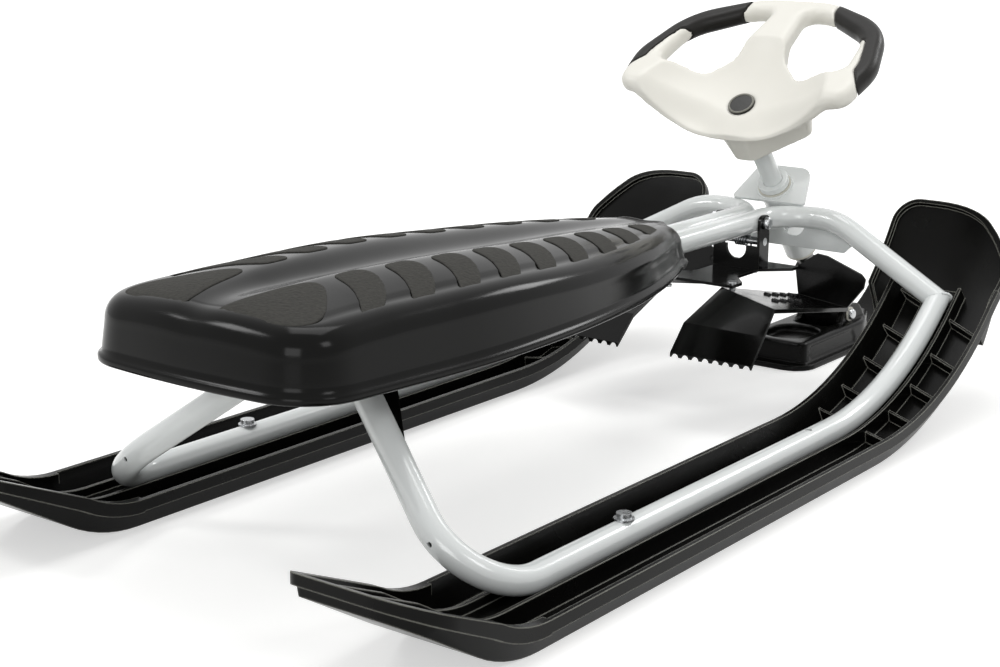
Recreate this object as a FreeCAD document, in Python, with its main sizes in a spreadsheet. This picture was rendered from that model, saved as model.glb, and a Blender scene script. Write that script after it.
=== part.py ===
import FreeCAD, Part
import math
import os
from FreeCAD import Placement, Rotation, Vector

# Steering sled, in millimetres. X points to the rider's right, Y forward and Z up.
# The origin is on the floor, below the middle of the sled.

X_AXIS = Vector(1, 0, 0)
Y_AXIS = Vector(0, 1, 0)
Z_AXIS = Vector(0, 0, 1)

SIZES = (
    # frame tubes
    ("tube_diameter", 22, "outside diameter of the frame tubes"),
    ("tube_wall", 2, "wall of the frame tubes"),
    ("runner_x", 195, "middle of a ski from the middle of the sled"),
    ("tube_over_sole", 12.7, "lowest point of a runner above the sole of its ski"),
    ("backbone_x", 12, "middle of a backbone tube from the middle of the sled"),
    ("backbone_z", 165, "height of the backbone tubes"),
    ("tube_joint_y", -330, "where a main tube meets its runner tube under the seat"),
    ("leg_top_y", -379, "corner between backbone and leg"),
    ("leg_foot_y", -459, "corner between leg and runner"),
    ("leg_top_bend", 50, "bend radius at the top of a leg"),
    ("leg_foot_bend", 55, "bend radius at the foot of a leg"),
    ("drain_diameter", 4, "drain hole in the foot bend"),
    ("drain_turn", 20, "drain hole from the start of that bend, degrees"),
    ("shoulder_y", 295, "corner where a main tube turns outward behind the head"),
    ("shoulder_bend", 40, "bend radius of that corner"),
    ("arm_x", 78, "corner where a main tube turns down to the ski"),
    ("arm_y", 289, "corner where a main tube turns down to the ski"),
    ("arm_z", 166, "corner where a main tube turns down to the ski"),
    ("arm_bend", 70, "bend radius of that corner"),
    ("elbow_angle", 40.6, "how far round the front curve the two tubes meet, degrees"),
    # skis
    ("ski_front_y", 59, "where the front of a ski starts to curve up"),
    ("ski_front_bend", 357, "radius of the front curve, at the sole"),
    ("ski_tail_y", -440, "where the tail of a ski starts to curve up"),
    ("ski_tail_bend", 130, "radius of the tail curve, at the sole"),
    ("ski_tail_rise", 31, "slope of the straight tail end, degrees"),
    ("ski_tail_wall", 15, "height of the side walls at the tail end"),
    ("ski_tail_end", -579, "rear end of a ski"),
    ("ski_tail_outer", 42, "corner radius of the tail, outer side"),
    ("ski_tail_inner", 12, "corner radius of the tail, inner side"),
    ("ski_sole_width", 90, "width of the sole"),
    ("ski_top_width", 110, "width over the rims of the side walls"),
    ("ski_height", 25, "height of the side walls"),
    ("ski_wall", 4, "thickness of sole and side walls"),
    ("ski_rib_width", 3, "thickness of the ribs and webs in a ski"),
    ("ski_rib_height", 20, "height of the two ribs beside the runner"),
    ("ski_rim_height", 11, "height of the rim flange of a side wall"),
    ("ski_rim_step", 4, "how far the rim flange stands out of the side wall"),
    ("runner_clearance", 0.2, "gap round a tube that lies in a ski"),
    ("ski_channel_end", 44, "end of the runner channel on the front curve, degrees"),
    ("web_first", 8, "first web on the front curve, degrees"),
    ("web_step", 7.8, "angle from web to web, degrees"),
    ("web_count", 5, "webs on each side of the runner"),
    ("web_lean", 25, "how far the webs are turned backward at their outer ends, degrees"),
    ("paddle_start", 36, "start of the toe paddle on the front curve, degrees"),
    ("paddle_end", 60, "end of the toe paddle on the front curve, degrees"),
    ("paddle_inner", 85, "reach of the toe paddle towards the middle of the sled"),
    ("paddle_outer", 55, "reach of the toe paddle away from the middle of the sled"),
    ("paddle_rim", 9, "height of the paddle rim above its outer face"),
    ("paddle_rim_width", 4, "width of the paddle rim"),
    ("paddle_inner_corner", 26, "corner radius of the paddle, inner side"),
    ("paddle_outer_corner", 60, "corner radii of the paddle, outer side"),
    ("paddle_crest", 25, "end of the straight top edge of the paddle from the middle of the ski, inward"),
    ("paddle_shoulder", 42, "outer shoulder of the paddle from the middle of the ski, outward"),
    ("paddle_fall", 66, "outer shoulder of the paddle below its top edge"),
    ("ski_bolt_y", -271, "bolt that holds a ski to its runner"),
    ("ski_screw_y", 20, "screw under the front of a ski"),
    ("ski_bolt_diameter", 6, "shank of the ski bolts and screws"),
    ("ski_bolt_head", 12, "head of the ski bolts"),
    ("ski_bolt_head_height", 4, "height of that head"),
    ("ski_nut_width", 10, "nut of the ski bolts, across its corners"),
    ("ski_nut_height", 5, "height of that nut"),
    ("ski_washer", 16, "washer under the head of a ski bolt"),
    ("washer_thickness", 1.5, "thickness of the washers"),
    # steering head
    ("head_y", 323, "middle of the steering head"),
    ("head_z", 166, "middle of the steering head"),
    ("rake_angle", 40, "lean of the steering axis, degrees"),
    ("head_diameter", 34, "outside of the head tube"),
    ("head_bore", 26, "bore of the head tube"),
    ("head_top", 33, "top of the head tube above its middle, along the axis"),
    ("head_bottom", 62, "bottom of the head tube below its middle, along the axis"),
    ("plate_thickness", 3, "sheet of the head plate, gusset and brake"),
    ("head_plate_low", 20, "head plate, from the axis down to its rear edge"),
    ("head_plate_high", 28, "head plate, from the axis up to its front edge"),
    ("head_plate_foot", 84, "width of the head plate at its rear edge"),
    ("head_plate_crown", 58, "width of the head plate at its front edge"),
    ("head_plate_round", 14, "corner radius at the front of the head plate"),
    ("gusset_y", 295, "middle of the web of the head gusset"),
    ("gusset_width", 184, "width of the web of the head gusset"),
    ("gusset_drop", 21, "height of the web below the tubes"),
    ("gusset_hole_x", 27, "half-round hole in the web, from the middle"),
    ("gusset_hole", 26, "diameter of that hole"),
    ("bush_length", 14, "length of a head bush in its tube"),
    ("bush_flange", 2.5, "flange of a head bush"),
    ("column_diameter", 20, "steering column"),
    ("running_clearance", 0.05, "radial gap of a shaft that turns in a hole"),
    ("column_top", 126, "top of the steering column, along the axis"),
    ("collar_diameter", 32, "collar that holds the column up"),
    ("collar_height", 7, "height of that collar"),
    ("end_play", 0.3, "gap between faces that turn past each other"),
    ("cone_top", 26, "upper diameter of the cone under the head"),
    ("cone_bottom", 15, "lower diameter of that cone"),
    ("cone_height", 22, "height of that cone"),
    # steering wheel
    ("wheel_rim_t", 176.8, "middle of the wheel rim on the axis"),
    ("wheel_tilt", 11.9, "lean of the wheel's plane against the axis, degrees"),
    ("wheel_rim_thickness", 20, "thickness of the wheel rim"),
    ("wheel_half_width", 134, "half the width of the wheel before its corners are rounded"),
    ("wheel_height", 149, "top edge of the wheel from the axis"),
    ("wheel_drop", 32, "bottom edge of the wheel from the axis"),
    ("wheel_rim_round", 9, "rounding of the rim"),
    ("dish_bottom", 151, "lowest point of the hollow in the face of the wheel, along the axis"),
    ("dish_radius", 157, "radius of that hollow"),
    ("dish_wall", 15, "thickness of the wheel under the hollow"),
    ("hand_gap_inner", 18, "inner side of a hand gap from the middle"),
    ("hand_gap_outer", 104, "outer corner of a hand gap from the middle"),
    ("hand_gap_low", 28, "lower side of a hand gap from the axis"),
    ("hand_gap_high", 126, "upper side of a hand gap from the axis"),
    ("hub_foot_nose", 9, "half the width of the foot of the hub at its rear end"),
    ("hub_foot_width", 56, "half the width of the foot of the hub"),
    ("hub_low", 28, "hub, from the axis down to its rear end"),
    ("hub_high", 36, "hub, from the axis up to its front side"),
    ("hub_bottom", 99, "foot of the hub, along the axis"),
    ("hub_boss_bottom", 91, "bottom of the hub boss, along the axis"),
    ("hub_boss", 30, "diameter of the hub boss"),
    ("hub_round", 8, "rounding of the hub"),
    ("grip_inner", 47, "upper end of a soft grip from the middle"),
    ("grip_low", 2, "lower end of a soft grip from the axis"),
    ("grip_joint", 0.2, "gap between a soft grip and the rim"),
    ("cap_diameter", 27, "round cap in the hub"),
    ("cap_height", 4, "thickness of that cap"),
    ("wheel_bolt_diameter", 8, "bolt that holds the wheel"),
    ("wheel_bolt_head", 13, "head of that bolt"),
    ("wheel_bolt_head_height", 6, "height of that head"),
    ("wheel_bolt_length", 24, "length of that bolt in the column"),
    # front ski and its stem
    ("axle_drop", 169.5, "ski axle below the middle of the head, along the axis"),
    ("axle_diameter", 8, "axle bolt of the front ski"),
    ("axle_head", 12, "round head of the axle bolt"),
    ("axle_head_height", 4.5, "height of that head"),
    ("stem_width", 26, "width of the stem that goes down into the front ski"),
    ("stem_depth", 30, "depth of that stem"),
    ("stem_barrel", 26, "barrel at the foot of the stem"),
    ("stem_barrel_length", 40, "length of that barrel"),
    ("front_ski_rear", 309, "rear end of the box of the front ski"),
    ("front_ski_bend_y", 452, "where the sole of the front ski starts to curve up"),
    ("front_ski_bend", 190, "radius of that curve, at the sole"),
    ("front_ski_tip", 579, "front end of the front ski"),
    ("front_ski_nose_y", 525, "where the nose of the front ski is narrow"),
    ("front_ski_nose", 26, "width of that nose"),
    ("front_ski_width", 76, "width of the box of the front ski"),
    ("front_ski_top", 28, "height of the box of the front ski"),
    ("front_ski_round", 4, "rounding of the upper edges of the box"),
    ("front_ski_sole_width", 92, "width of the sole of the front ski"),
    ("front_ski_sole", 6, "thickness of the sole of the front ski"),
    ("front_ski_box_front", 516, "front end of the box of the front ski"),
    ("front_panel_depth", 1.2, "depth of the shallow panel in each side of the box"),
    ("cheek_width", 55, "width over the two cheeks that hold the axle"),
    ("cheek_top", 45.5, "height of the cheeks"),
    ("cheek_rear", 36, "foot of the cheeks behind the axle"),
    ("cheek_front", 56, "foot of the cheeks in front of the axle"),
    ("cheek_round", 9, "rounding of the cheeks"),
    ("front_ski_wall", 7, "thickness of a cheek"),
    ("pocket_reach", 37, "stem pocket, from the axle to each end"),
    ("recess_length", 66, "oval recess on top of the front ski"),
    ("recess_width", 50, "width of that recess"),
    ("recess_depth", 8, "depth of that recess"),
    ("recess_y", 353, "middle of that recess"),
    ("ski_bush_flange", 1.5, "flange of the bushes in the front ski"),
    ("ski_bush_diameter", 12, "outside of those bushes"),
    # seat
    ("seat_rear_y", -515, "rear end of the seat"),
    ("seat_length", 581, "length of the seat"),
    ("seat_width", 240, "greatest width of the seat"),
    ("seat_height", 66, "greatest height of the seat at its ridges"),
    ("seat_lip_z", 155, "lower edge of the seat"),
    ("seat_lip_height", 9, "height of the lip round the seat"),
    ("seat_lip_step", 3, "how far the lip stands out"),
    ("seat_wall", 4, "wall of the seat shell"),
    ("seat_draft", 6, "how far the sides lean in up to the rounding"),
    ("seat_shoulder", 0.58, "start of the rounding between the sides and the top, share of the height"),
    ("seat_ridge", 0.5, "ridges of the seat from its middle, share of the half width"),
    ("seat_valley", 9, "greatest depth of the valley along the middle of the seat"),
    ("pad_proud", 0.8, "how far the grip pads stand out of the seat"),
    ("pad_first_y", -497, "rear end of the grip pads"),
    ("pad_big_length", 67, "length of the large rear pad"),
    ("pad_small_y", -404, "inner end of the first small pad"),
    ("pad_pitch", 48.5, "distance from pad to pad"),
    ("pad_length", 23, "length of a small pad"),
    ("pad_count", 9, "small pads in each column"),
    ("pad_inner", 0.28, "inner end of the small pads, share of the half width"),
    ("pad_outer", 0.78, "outer end of the small pads, share of the half width"),
    ("pad_sweep", 41, "how far the outer end of a rear pad lies behind its inner end"),
    ("pad_bulge", 8, "how far the middle of a pad is bent forward"),
    ("pad_round", 6, "corner radius of the pads"),
    ("bracket_width", 30, "seat brackets, along the tubes"),
    ("bracket_length", 124, "seat brackets, across the tubes"),
    ("bracket_front_y", -95, "front seat bracket"),
    ("bracket_rear_y", -300, "rear seat bracket"),
    ("seat_boss_x", 45, "screw bosses of the seat from the middle"),
    ("seat_boss", 16, "diameter of a screw boss"),
    ("seat_screw", 5, "shank of a seat screw"),
    ("seat_screw_head", 10, "head of a seat screw"),
    ("seat_screw_head_height", 4, "height of that head"),
    ("seat_screw_length", 16, "length of a seat screw above its bracket"),
    ("leg_gusset_low", 106, "lower tip of a leg gusset"),
    ("leg_gusset_width", 32, "width of a leg gusset at the seat"),
    ("leg_gusset_thickness", 5, "thickness of a leg gusset"),
    # brake
    ("brake_y", 237, "pivot of the brake"),
    ("pivot_diameter", 8, "pivot bolt of the brake"),
    ("pivot_head", 13, "head of the pivot bolt"),
    ("pivot_head_height", 5, "height of that head"),
    ("hanger_gap", 0.4, "gap between the backbone and the hanger"),
    ("hanger_width", 19, "width of the arms of the hanger"),
    ("hanger_round", 8, "radius of the upper end of an arm"),
    ("hanger_web_top", 142, "top of the web between the arms"),
    ("notch_width", 22, "notch in that web"),
    ("notch_bottom", 128, "bottom of that notch"),
    ("bridge_z", 119, "top of the bridge plate"),
    ("bridge_rear", 148, "rear edge of the bridge plate"),
    ("bridge_front", 272, "front edge of the bridge plate"),
    ("bridge_waist", 46, "width of the bridge plate under the hanger"),
    ("bridge_rear_width", 84, "width of the bridge plate at its rear edge"),
    ("bridge_front_width", 96, "width of the bridge plate at its front edge"),
    ("bridge_arm", 26, "length of the arms of the bridge plate"),
    ("foot_inner", 30, "inner rear corner of a foot rest"),
    ("foot_outer", 116, "outer edge of a foot rest"),
    ("foot_skew", 52, "how far the outer rear corner lies behind the inner one"),
    ("foot_front", 270, "front edge of a foot rest"),
    ("foot_front_inner", 50, "inner front corner of a foot rest"),
    ("foot_drop", 30, "drop of a foot rest towards the front"),
    ("foot_front_outer", 105, "outer front corner of a foot rest"),
    ("toe_height", 43, "height of the toe wall"),
    ("toe_outer_height", 35, "height of the toe wall at its outer side"),
    ("toe_outer", 121, "outer edge of the toe wall"),
    ("claw_knee_y", 83, "knee of a claw"),
    ("claw_knee_z", 93, "knee of a claw"),
    ("claw_tip_y", 58, "teeth of a claw"),
    ("claw_tip_z", 69, "teeth of a claw"),
    ("claw_inner", 28, "inner edge of a claw"),
    ("tooth_count", 8, "teeth of a claw"),
    ("tooth_depth", 6, "depth of the gaps between the teeth"),
    ("brake_sheet", 4, "upright thickness of a brake plate"),
    ("stud_diameter", 8, "raised rings on the foot rests"),
    ("stud_bore", 4.4, "holes in those rings"),
    ("stud_height", 2, "height of those rings"),
    ("stud_pitch", 16, "distance from ring to ring in a row"),
    ("stud_count", 4, "rings in a row"),
    ("stud_outer_x", 82, "outer row of rings"),
    ("stud_outer_y", 160, "rear end of the outer row"),
    ("stud_inner_x", 57, "inner row of rings"),
    ("stud_inner_y", 190, "rear end of the inner row"),
    ("rivet_diameter", 6, "rivets of the brake"),
    ("rivet_head", 10, "heads of those rivets"),
    ("rivet_head_height", 2, "height of those heads"),
    ("spring_wire", 1.8, "wire of the brake spring"),
    ("spring_coil", 11, "middle diameter of the brake spring"),
    ("spring_turns", 5, "turns of the brake spring"),
    ("spring_pitch", 2.6, "rise of the brake spring in a turn"),
    ("spring_leg", 24, "legs of the brake spring"),
    ("spring_pin", 8, "pin of the brake spring"),
    ("spring_drop", 19, "pin of the spring below the pivot"),
)

doc = FreeCAD.newDocument("SteeringSled")
sheet = doc.addObject("Spreadsheet::Sheet", "dim")
for row, (alias, number, meaning) in enumerate(SIZES, start=1):
    sheet.set(f"A{row}", meaning)
    sheet.set(f"B{row}", str(number))
    sheet.setAlias(f"B{row}", alias)
doc.recompute()

nodes = []


def size(alias):
    """The number in the sheet under a name."""
    return float(getattr(sheet, alias))


def keep(piece, label):
    """Give a finished piece its name and note it for writing."""
    piece.Label = label
    nodes.append(piece)
    return piece


def feature(label, shape, placement=None):
    """A piece whose shape is worked out from the sheet."""
    piece = doc.addObject("Part::Feature", label)
    piece.Shape = shape
    if placement is not None:
        piece.Placement = placement.multiply(shape.Placement)
    return keep(piece, label)


def mirrored(label, source):
    """The left-hand twin of a right-hand piece."""
    piece = doc.addObject("Part::Mirroring", label)
    piece.Source = source
    piece.Normal = X_AXIS
    return keep(piece, label)


def bind(piece, **expressions):
    """Tie properties of a piece to the sheet; x, y and z are its place."""
    for name, text in expressions.items():
        path = f"Placement.Base.{name}" if name in ("x", "y", "z") else name
        piece.setExpression(path, str(text))
    return piece


def cylinder(name, diameter, height, axis=Z_AXIS, **place):
    """A cylinder tied to the sheet, along an axis from its place."""
    piece = doc.addObject("Part::Cylinder", name)
    piece.Placement = Placement(Vector(), Rotation(Z_AXIS, axis))
    return bind(piece, Radius=f"({diameter}) / 2", Height=height, **place)


def fuse(name, *pieces):
    """Several primitives as one solid."""
    piece = doc.addObject("Part::MultiFuse", name)
    piece.Shapes = list(pieces)
    return piece


def cut(name, base, tool):
    """One primitive less another."""
    piece = doc.addObject("Part::Cut", name)
    piece.Base = base
    piece.Tool = tool
    return piece


def group(label, pieces):
    """Identical pieces that share a node, each still a solid of its own."""
    piece = doc.addObject("Part::Compound", label)
    piece.Links = list(pieces)
    return keep(piece, label)


def on_steering_axis(piece):
    """Put a piece that is drawn upright on the raked steering axis."""
    piece.Placement = Placement(Vector(0, size("head_y"), size("head_z")), Rotation(X_AXIS, size("rake_angle")))
    return bind(piece, y="dim.head_y", z="dim.head_z", **{"Placement.Rotation.Angle": "dim.rake_angle"})


def rake_placement():
    """The place of the steering axis for pieces with a worked-out shape."""
    return Placement(Vector(0, size("head_y"), size("head_z")), Rotation(X_AXIS, size("rake_angle")))


def plate(name, corners, holes, thickness, **place):
    """A sheet-metal body: straight-sided outline with round holes, padded upward and tied to the sheet."""
    body = doc.addObject("PartDesign::Body", name)
    sketch = body.newObject("Sketcher::SketchObject", name + "_outline")
    plane = [item for item in body.Origin.OriginFeatures if item.Role == "XY_Plane"][0]
    sketch.AttachmentSupport = [(plane, "")]
    sketch.MapMode = "FlatFace"
    spots = [Vector(float(sheet.evalExpression(x)), float(sheet.evalExpression(y)), 0) for x, y in corners]
    count = len(spots)
    for index, spot in enumerate(spots):
        sketch.addGeometry(Part.LineSegment(spot, spots[(index + 1) % count]))
    for index in range(count):
        sketch.addConstraint(sketcher_constraint("Coincident", index, 2, (index + 1) % count, 1))
    for index, (x, y) in enumerate(corners):
        tie_point(sketch, index, 1, spots[index], x, y)
    for x, y, diameter in holes:
        centre = Vector(float(sheet.evalExpression(x)), float(sheet.evalExpression(y)), 0)
        radius = float(sheet.evalExpression(diameter)) / 2
        circle = sketch.addGeometry(Part.Circle(centre, Z_AXIS, radius))
        tie_point(sketch, circle, 3, centre, x, y)
        constraint = sketch.addConstraint(sketcher_constraint("Radius", circle, radius))
        sketch.setExpression(f"Constraints[{constraint}]", f"({in_sheet(diameter)}) / 2")
    pad = body.newObject("PartDesign::Pad", name + "_pad")
    pad.Profile = sketch
    pad.setExpression("Length", in_sheet(thickness))
    body.Tip = pad
    return bind(body, **place)


def sketcher_constraint(*values):
    """A sketch constraint; the sketcher is loaded with the first one."""
    import Sketcher
    return Sketcher.Constraint(*values)


def in_sheet(text):
    """An expression of sheet names as other objects read it."""
    words = text.replace("(", " ( ").replace(")", " ) ").split()
    return " ".join(f"dim.{word}" if word[0].isalpha() else word for word in words)


def tie_point(sketch, geometry, end, spot, x, y):
    """Tie a point of a sketch to two expressions of the sheet."""
    for kind, number, text in (("DistanceX", spot.x, x), ("DistanceY", spot.y, y)):
        index = sketch.addConstraint(sketcher_constraint(kind, -1, 1, geometry, end, number))
        sketch.setExpression(f"Constraints[{index}]", in_sheet(text))


def arc_middle(start, corner, end):
    """Middle of the arc that is tangent to two equal legs meeting in a corner."""
    chord_middle = (start + end) * 0.5
    half_chord = (end - start).Length / 2
    leg = (corner - start).Length
    rise = math.acos(min(1.0, half_chord / leg))
    return chord_middle + (corner - chord_middle).normalize() * (half_chord * math.tan(rise / 2))


def rounded_corner(before, corner, after, radius):
    """Start, middle and end of the arc that rounds a corner."""
    into = (corner - before).normalize()
    out = (after - corner).normalize()
    reach = radius * math.tan(into.getAngle(out) / 2)
    start = corner - into * reach
    end = corner + out * reach
    return start, arc_middle(start, corner, end), end


def bent_path(corners, radii):
    """Edges of straight runs joined by tangent arcs."""
    edges = []
    start = corners[0]
    for index, radius in enumerate(radii, start=1):
        first, middle, last = rounded_corner(corners[index - 1], corners[index], corners[index + 1], radius)
        edges.append(Part.LineSegment(start, first).toShape())
        edges.append(Part.Arc(first, middle, last).toShape())
        start = last
    edges.append(Part.LineSegment(start, corners[-1]).toShape())
    return edges


def rounded_outline(corners, radii):
    """Closed wire with its corners rounded; a radius of 0 leaves a corner sharp."""
    arcs = []
    count = len(corners)
    for index, radius in enumerate(radii):
        corner = corners[index]
        if radius > 0:
            arcs.append(rounded_corner(corners[index - 1], corner, corners[(index + 1) % count], radius))
        else:
            arcs.append((corner, None, corner))
    edges = []
    for index, (first, middle, last) in enumerate(arcs):
        if middle is not None:
            edges.append(Part.Arc(first, middle, last).toShape())
        onward = arcs[(index + 1) % count][0]
        if (onward - last).Length > 1e-6:
            edges.append(Part.LineSegment(last, onward).toShape())
    return Part.Wire(edges)


def prism(wires, travel):
    """Solid from an outline, with any further wires as holes."""
    face = Part.Face(wires[0])
    for hole in wires[1:]:
        face = face.cut(Part.Face(hole))
    return face.extrude(travel)


def polygon_face(corners):
    """Flat face with straight sides."""
    return Part.Face(Part.makePolygon(list(corners) + [corners[0]]))


def swept_rod(edges, radius):
    """Solid round rod along a path."""
    path = Part.Wire(edges)
    start = path.Edges[0]
    direction = start.tangentAt(start.FirstParameter)
    ring = Part.Wire(Part.makeCircle(radius, start.valueAt(start.FirstParameter), direction))
    return path.makePipeShell([ring], True, False)


def hollow_tube(edges):
    """Frame tube along a path."""
    outside = size("tube_diameter") / 2
    return swept_rod(edges, outside).cut(swept_rod(edges, outside - size("tube_wall")))


def half_space(origin, normal):
    """Block that fills one side of a plane, as far as a tube joint reaches."""
    reach = 6 * size("tube_diameter")
    block = Part.makeBox(2 * reach, 2 * reach, reach, Vector(-reach, -reach, 0))
    block.Placement = Placement(origin, Rotation(Z_AXIS, normal))
    return block


# Frame tubes

def runner_z():
    """Height of a runner's middle line above the floor."""
    return size("tube_over_sole") + size("tube_diameter") / 2


def on_front_curve(radius, degrees, x):
    """Point on the front curve of a ski."""
    angle = math.radians(degrees)
    centre_z = size("ski_front_bend")
    return Vector(x, size("ski_front_y") + radius * math.sin(angle), centre_z - radius * math.cos(angle))


def runner_curve():
    """Radius of a runner's middle line in the front curve."""
    return size("ski_front_bend") - runner_z()


def elbow():
    """Middle of the front corner where runner and main tube meet."""
    return on_front_curve(runner_curve(), size("elbow_angle"), size("runner_x"))


def arm_corner():
    """Corner where a main tube turns down to its ski."""
    return Vector(size("arm_x"), size("arm_y"), size("arm_z"))


def runner_direction():
    """Direction of a runner where it ends."""
    angle = math.radians(size("elbow_angle"))
    return Vector(0, math.cos(angle), math.sin(angle))


def mitre_normal():
    """Normal of the mitre, pointing from the runner to the main tube."""
    onward = (arm_corner() - elbow()).normalize()
    return (runner_direction() + onward).normalize()


def leg_corners():
    """Top and foot of a leg."""
    top = Vector(size("backbone_x"), size("leg_top_y"), size("backbone_z"))
    foot = Vector(size("runner_x"), size("leg_foot_y"), runner_z())
    return top, foot


def main_tube_path():
    """Middle line of the right main tube, a little longer than the tube."""
    spare = size("tube_diameter")
    end = elbow() + (elbow() - arm_corner()).normalize() * spare
    corners = [
        Vector(size("backbone_x"), size("tube_joint_y"), size("backbone_z")),
        Vector(size("backbone_x"), size("shoulder_y"), size("backbone_z")),
        arm_corner(),
        end,
    ]
    return bent_path(corners, [size("shoulder_bend"), size("arm_bend")])


def main_tube_shape():
    """Backbone, shoulder and arm of the right side."""
    tube = hollow_tube(main_tube_path())
    tube = tube.cut(half_space(elbow(), mitre_normal() * -1))
    bolt = Part.makeCylinder(size("pivot_diameter") / 2, 4 * size("backbone_x"),
                             Vector(-size("backbone_x"), size("brake_y"), size("backbone_z")), X_AXIS)
    return tube.cut(bolt)


def leg_path():
    """Middle line of the right leg and runner up to the front curve."""
    top, foot = leg_corners()
    curve_start = on_front_curve(runner_curve(), 0, size("runner_x"))
    corners = [Vector(top.x, size("tube_joint_y"), top.z), top, foot, curve_start]
    return bent_path(corners, [size("leg_top_bend"), size("leg_foot_bend")])


def runner_tube_shape():
    """Leg, runner and front curve of the right side."""
    top, foot = leg_corners()
    curve_start = on_front_curve(runner_curve(), 0, size("runner_x"))
    edges = leg_path()
    curve_middle = on_front_curve(runner_curve(), size("elbow_angle") / 2, size("runner_x"))
    edges.append(Part.Arc(curve_start, curve_middle, elbow()).toShape())
    spare = elbow() + runner_direction() * size("tube_diameter")
    edges.append(Part.LineSegment(elbow(), spare).toShape())
    tube = hollow_tube(edges)
    tube = tube.cut(half_space(elbow(), mitre_normal()))
    radius = size("ski_bolt_diameter") / 2
    for y in (size("ski_bolt_y"), size("ski_screw_y")):
        tube = tube.cut(Part.makeCylinder(radius, 2 * runner_z(), Vector(size("runner_x"), y, 0), Z_AXIS))
    bend_start, bend_middle, bend_end = rounded_corner(top, foot, curve_start, size("leg_foot_bend"))
    inward = ((bend_end - foot).normalize() + (bend_start - foot).normalize()).normalize()
    centre = bend_middle + inward * size("leg_foot_bend")
    first = bend_start - centre
    outward = Rotation(first.cross(bend_middle - centre), size("drain_turn")).multVec(first).normalize()
    drain = Part.makeCylinder(size("drain_diameter") / 2, size("tube_diameter"),
                              centre + outward * size("leg_foot_bend"), outward)
    return tube.cut(drain)


right_main_tube = feature("right_main_tube", main_tube_shape())
mirrored("left_main_tube", right_main_tube)
right_runner_tube = feature("right_runner_tube", runner_tube_shape())
mirrored("left_runner_tube", right_runner_tube)


# Skis

def ski_section():
    """Cross-section of a ski at the start of its front curve, middle line at the runner."""
    wall = size("ski_wall")
    sole = size("ski_sole_width") / 2
    rim = size("ski_top_width") / 2
    top = size("ski_height")
    shoulder = top - size("ski_rim_height")
    rib = size("ski_rib_width")
    channel = size("tube_diameter") / 2 + 2
    floor = size("tube_over_sole") - size("runner_clearance")
    half = [
        (sole, 0),
        (rim - size("ski_rim_step"), shoulder),
        (rim, shoulder + 1),
        (rim, top),
        (rim - wall, top),
        (sole - wall, wall),
        (channel + rib, wall),
        (channel + rib, size("ski_rib_height")),
        (channel, size("ski_rib_height")),
        (channel, floor),
    ]
    outline = half + [(-x, z) for x, z in reversed(half)]
    x_middle = size("runner_x")
    return polygon_face([Vector(x_middle + x, size("ski_front_y"), z) for x, z in outline])


def front_axis():
    """Centre of the front curve."""
    return Vector(0, size("ski_front_y"), size("ski_front_bend"))


def web_shape(side, degrees):
    """Web between the runner channel and a side wall, on the front curve."""
    inner = size("tube_diameter") / 2 + 2 + size("ski_rib_width") / 2
    wall = size("ski_wall")
    thick = size("ski_rib_width")
    low = size("ski_sole_width") / 2 - wall / 2
    shoulder = size("ski_height") - size("ski_rim_height")
    high = size("ski_top_width") / 2 - size("ski_rim_step") - wall / 2
    x_middle = size("runner_x")
    y = size("ski_front_y")
    lean = math.tan(math.radians(size("web_lean")))
    reach = lean * high + thick
    corners = [(inner, wall / 2), (low, wall / 2), (high, shoulder), (inner, shoulder)]
    face = polygon_face([Vector(x_middle + side * x, y - reach, z) for x, z in corners])
    room = face.extrude(Vector(0, 2 * reach, 0))
    near = Vector(x_middle + side * inner, y - side * lean * inner, 0)
    far = Vector(x_middle + side * high, y - side * lean * high, 0)
    along = Vector(0, thick, 0)
    web = polygon_face([near, far, far + along, near + along]).extrude(Vector(0, 0, shoulder)).common(room)
    web.rotate(front_axis(), X_AXIS, degrees)
    return web


def paddle_outline(inset):
    """Outline of the toe paddle in the plane of its middle, drawn in from its edge by an inset."""
    x_middle = size("runner_x")
    radius = size("ski_front_bend")
    middle = (size("paddle_start") + size("paddle_end")) / 2
    half = radius * math.sin(math.radians(size("paddle_end") - middle))
    start = -half - size("tube_diameter")
    inner = x_middle - size("paddle_inner") + inset
    outer = x_middle + size("paddle_outer") - inset
    neck = x_middle - size("ski_top_width") / 2 + inset
    crest = x_middle - size("paddle_crest") - inset / 2
    shoulder = x_middle + size("paddle_shoulder") - inset
    corners = [
        Vector(neck, start, 0),
        Vector(neck, -half, 0),
        Vector(inner, -half / 3, 0),
        Vector(inner, half - inset, 0),
        Vector(crest, half - inset, 0),
        Vector(shoulder, half - size("paddle_fall") - inset / 2, 0),
        Vector(outer, start, 0),
    ]
    inner_corner = size("paddle_inner_corner")
    outer_corner = size("paddle_outer_corner") - inset
    radii = [0, 0, inner_corner / 4, inner_corner - inset, outer_corner, outer_corner, 0]
    wire = rounded_outline(corners, radii)
    depth = size("ski_front_bend") / 3
    block = prism([wire], Vector(0, 0, 2 * depth))
    block.translate(Vector(0, 0, -depth))
    place = on_front_curve(radius, middle, 0)
    block.Placement = Placement(place, Rotation(X_AXIS, middle)).multiply(block.Placement)
    return block


def curved_sheet(height, start, end):
    """Wide sheet along the front curve, as high as given above the sole."""
    x_middle = size("runner_x")
    reach = size("paddle_inner") + size("paddle_outer")
    y = size("ski_front_y")
    corners = [Vector(x_middle - reach, y, 0), Vector(x_middle + reach, y, 0),
               Vector(x_middle + reach, y, height), Vector(x_middle - reach, y, height)]
    face = polygon_face(corners)
    face.rotate(front_axis(), X_AXIS, start)
    return face.revolve(front_axis(), X_AXIS, end - start)


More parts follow.
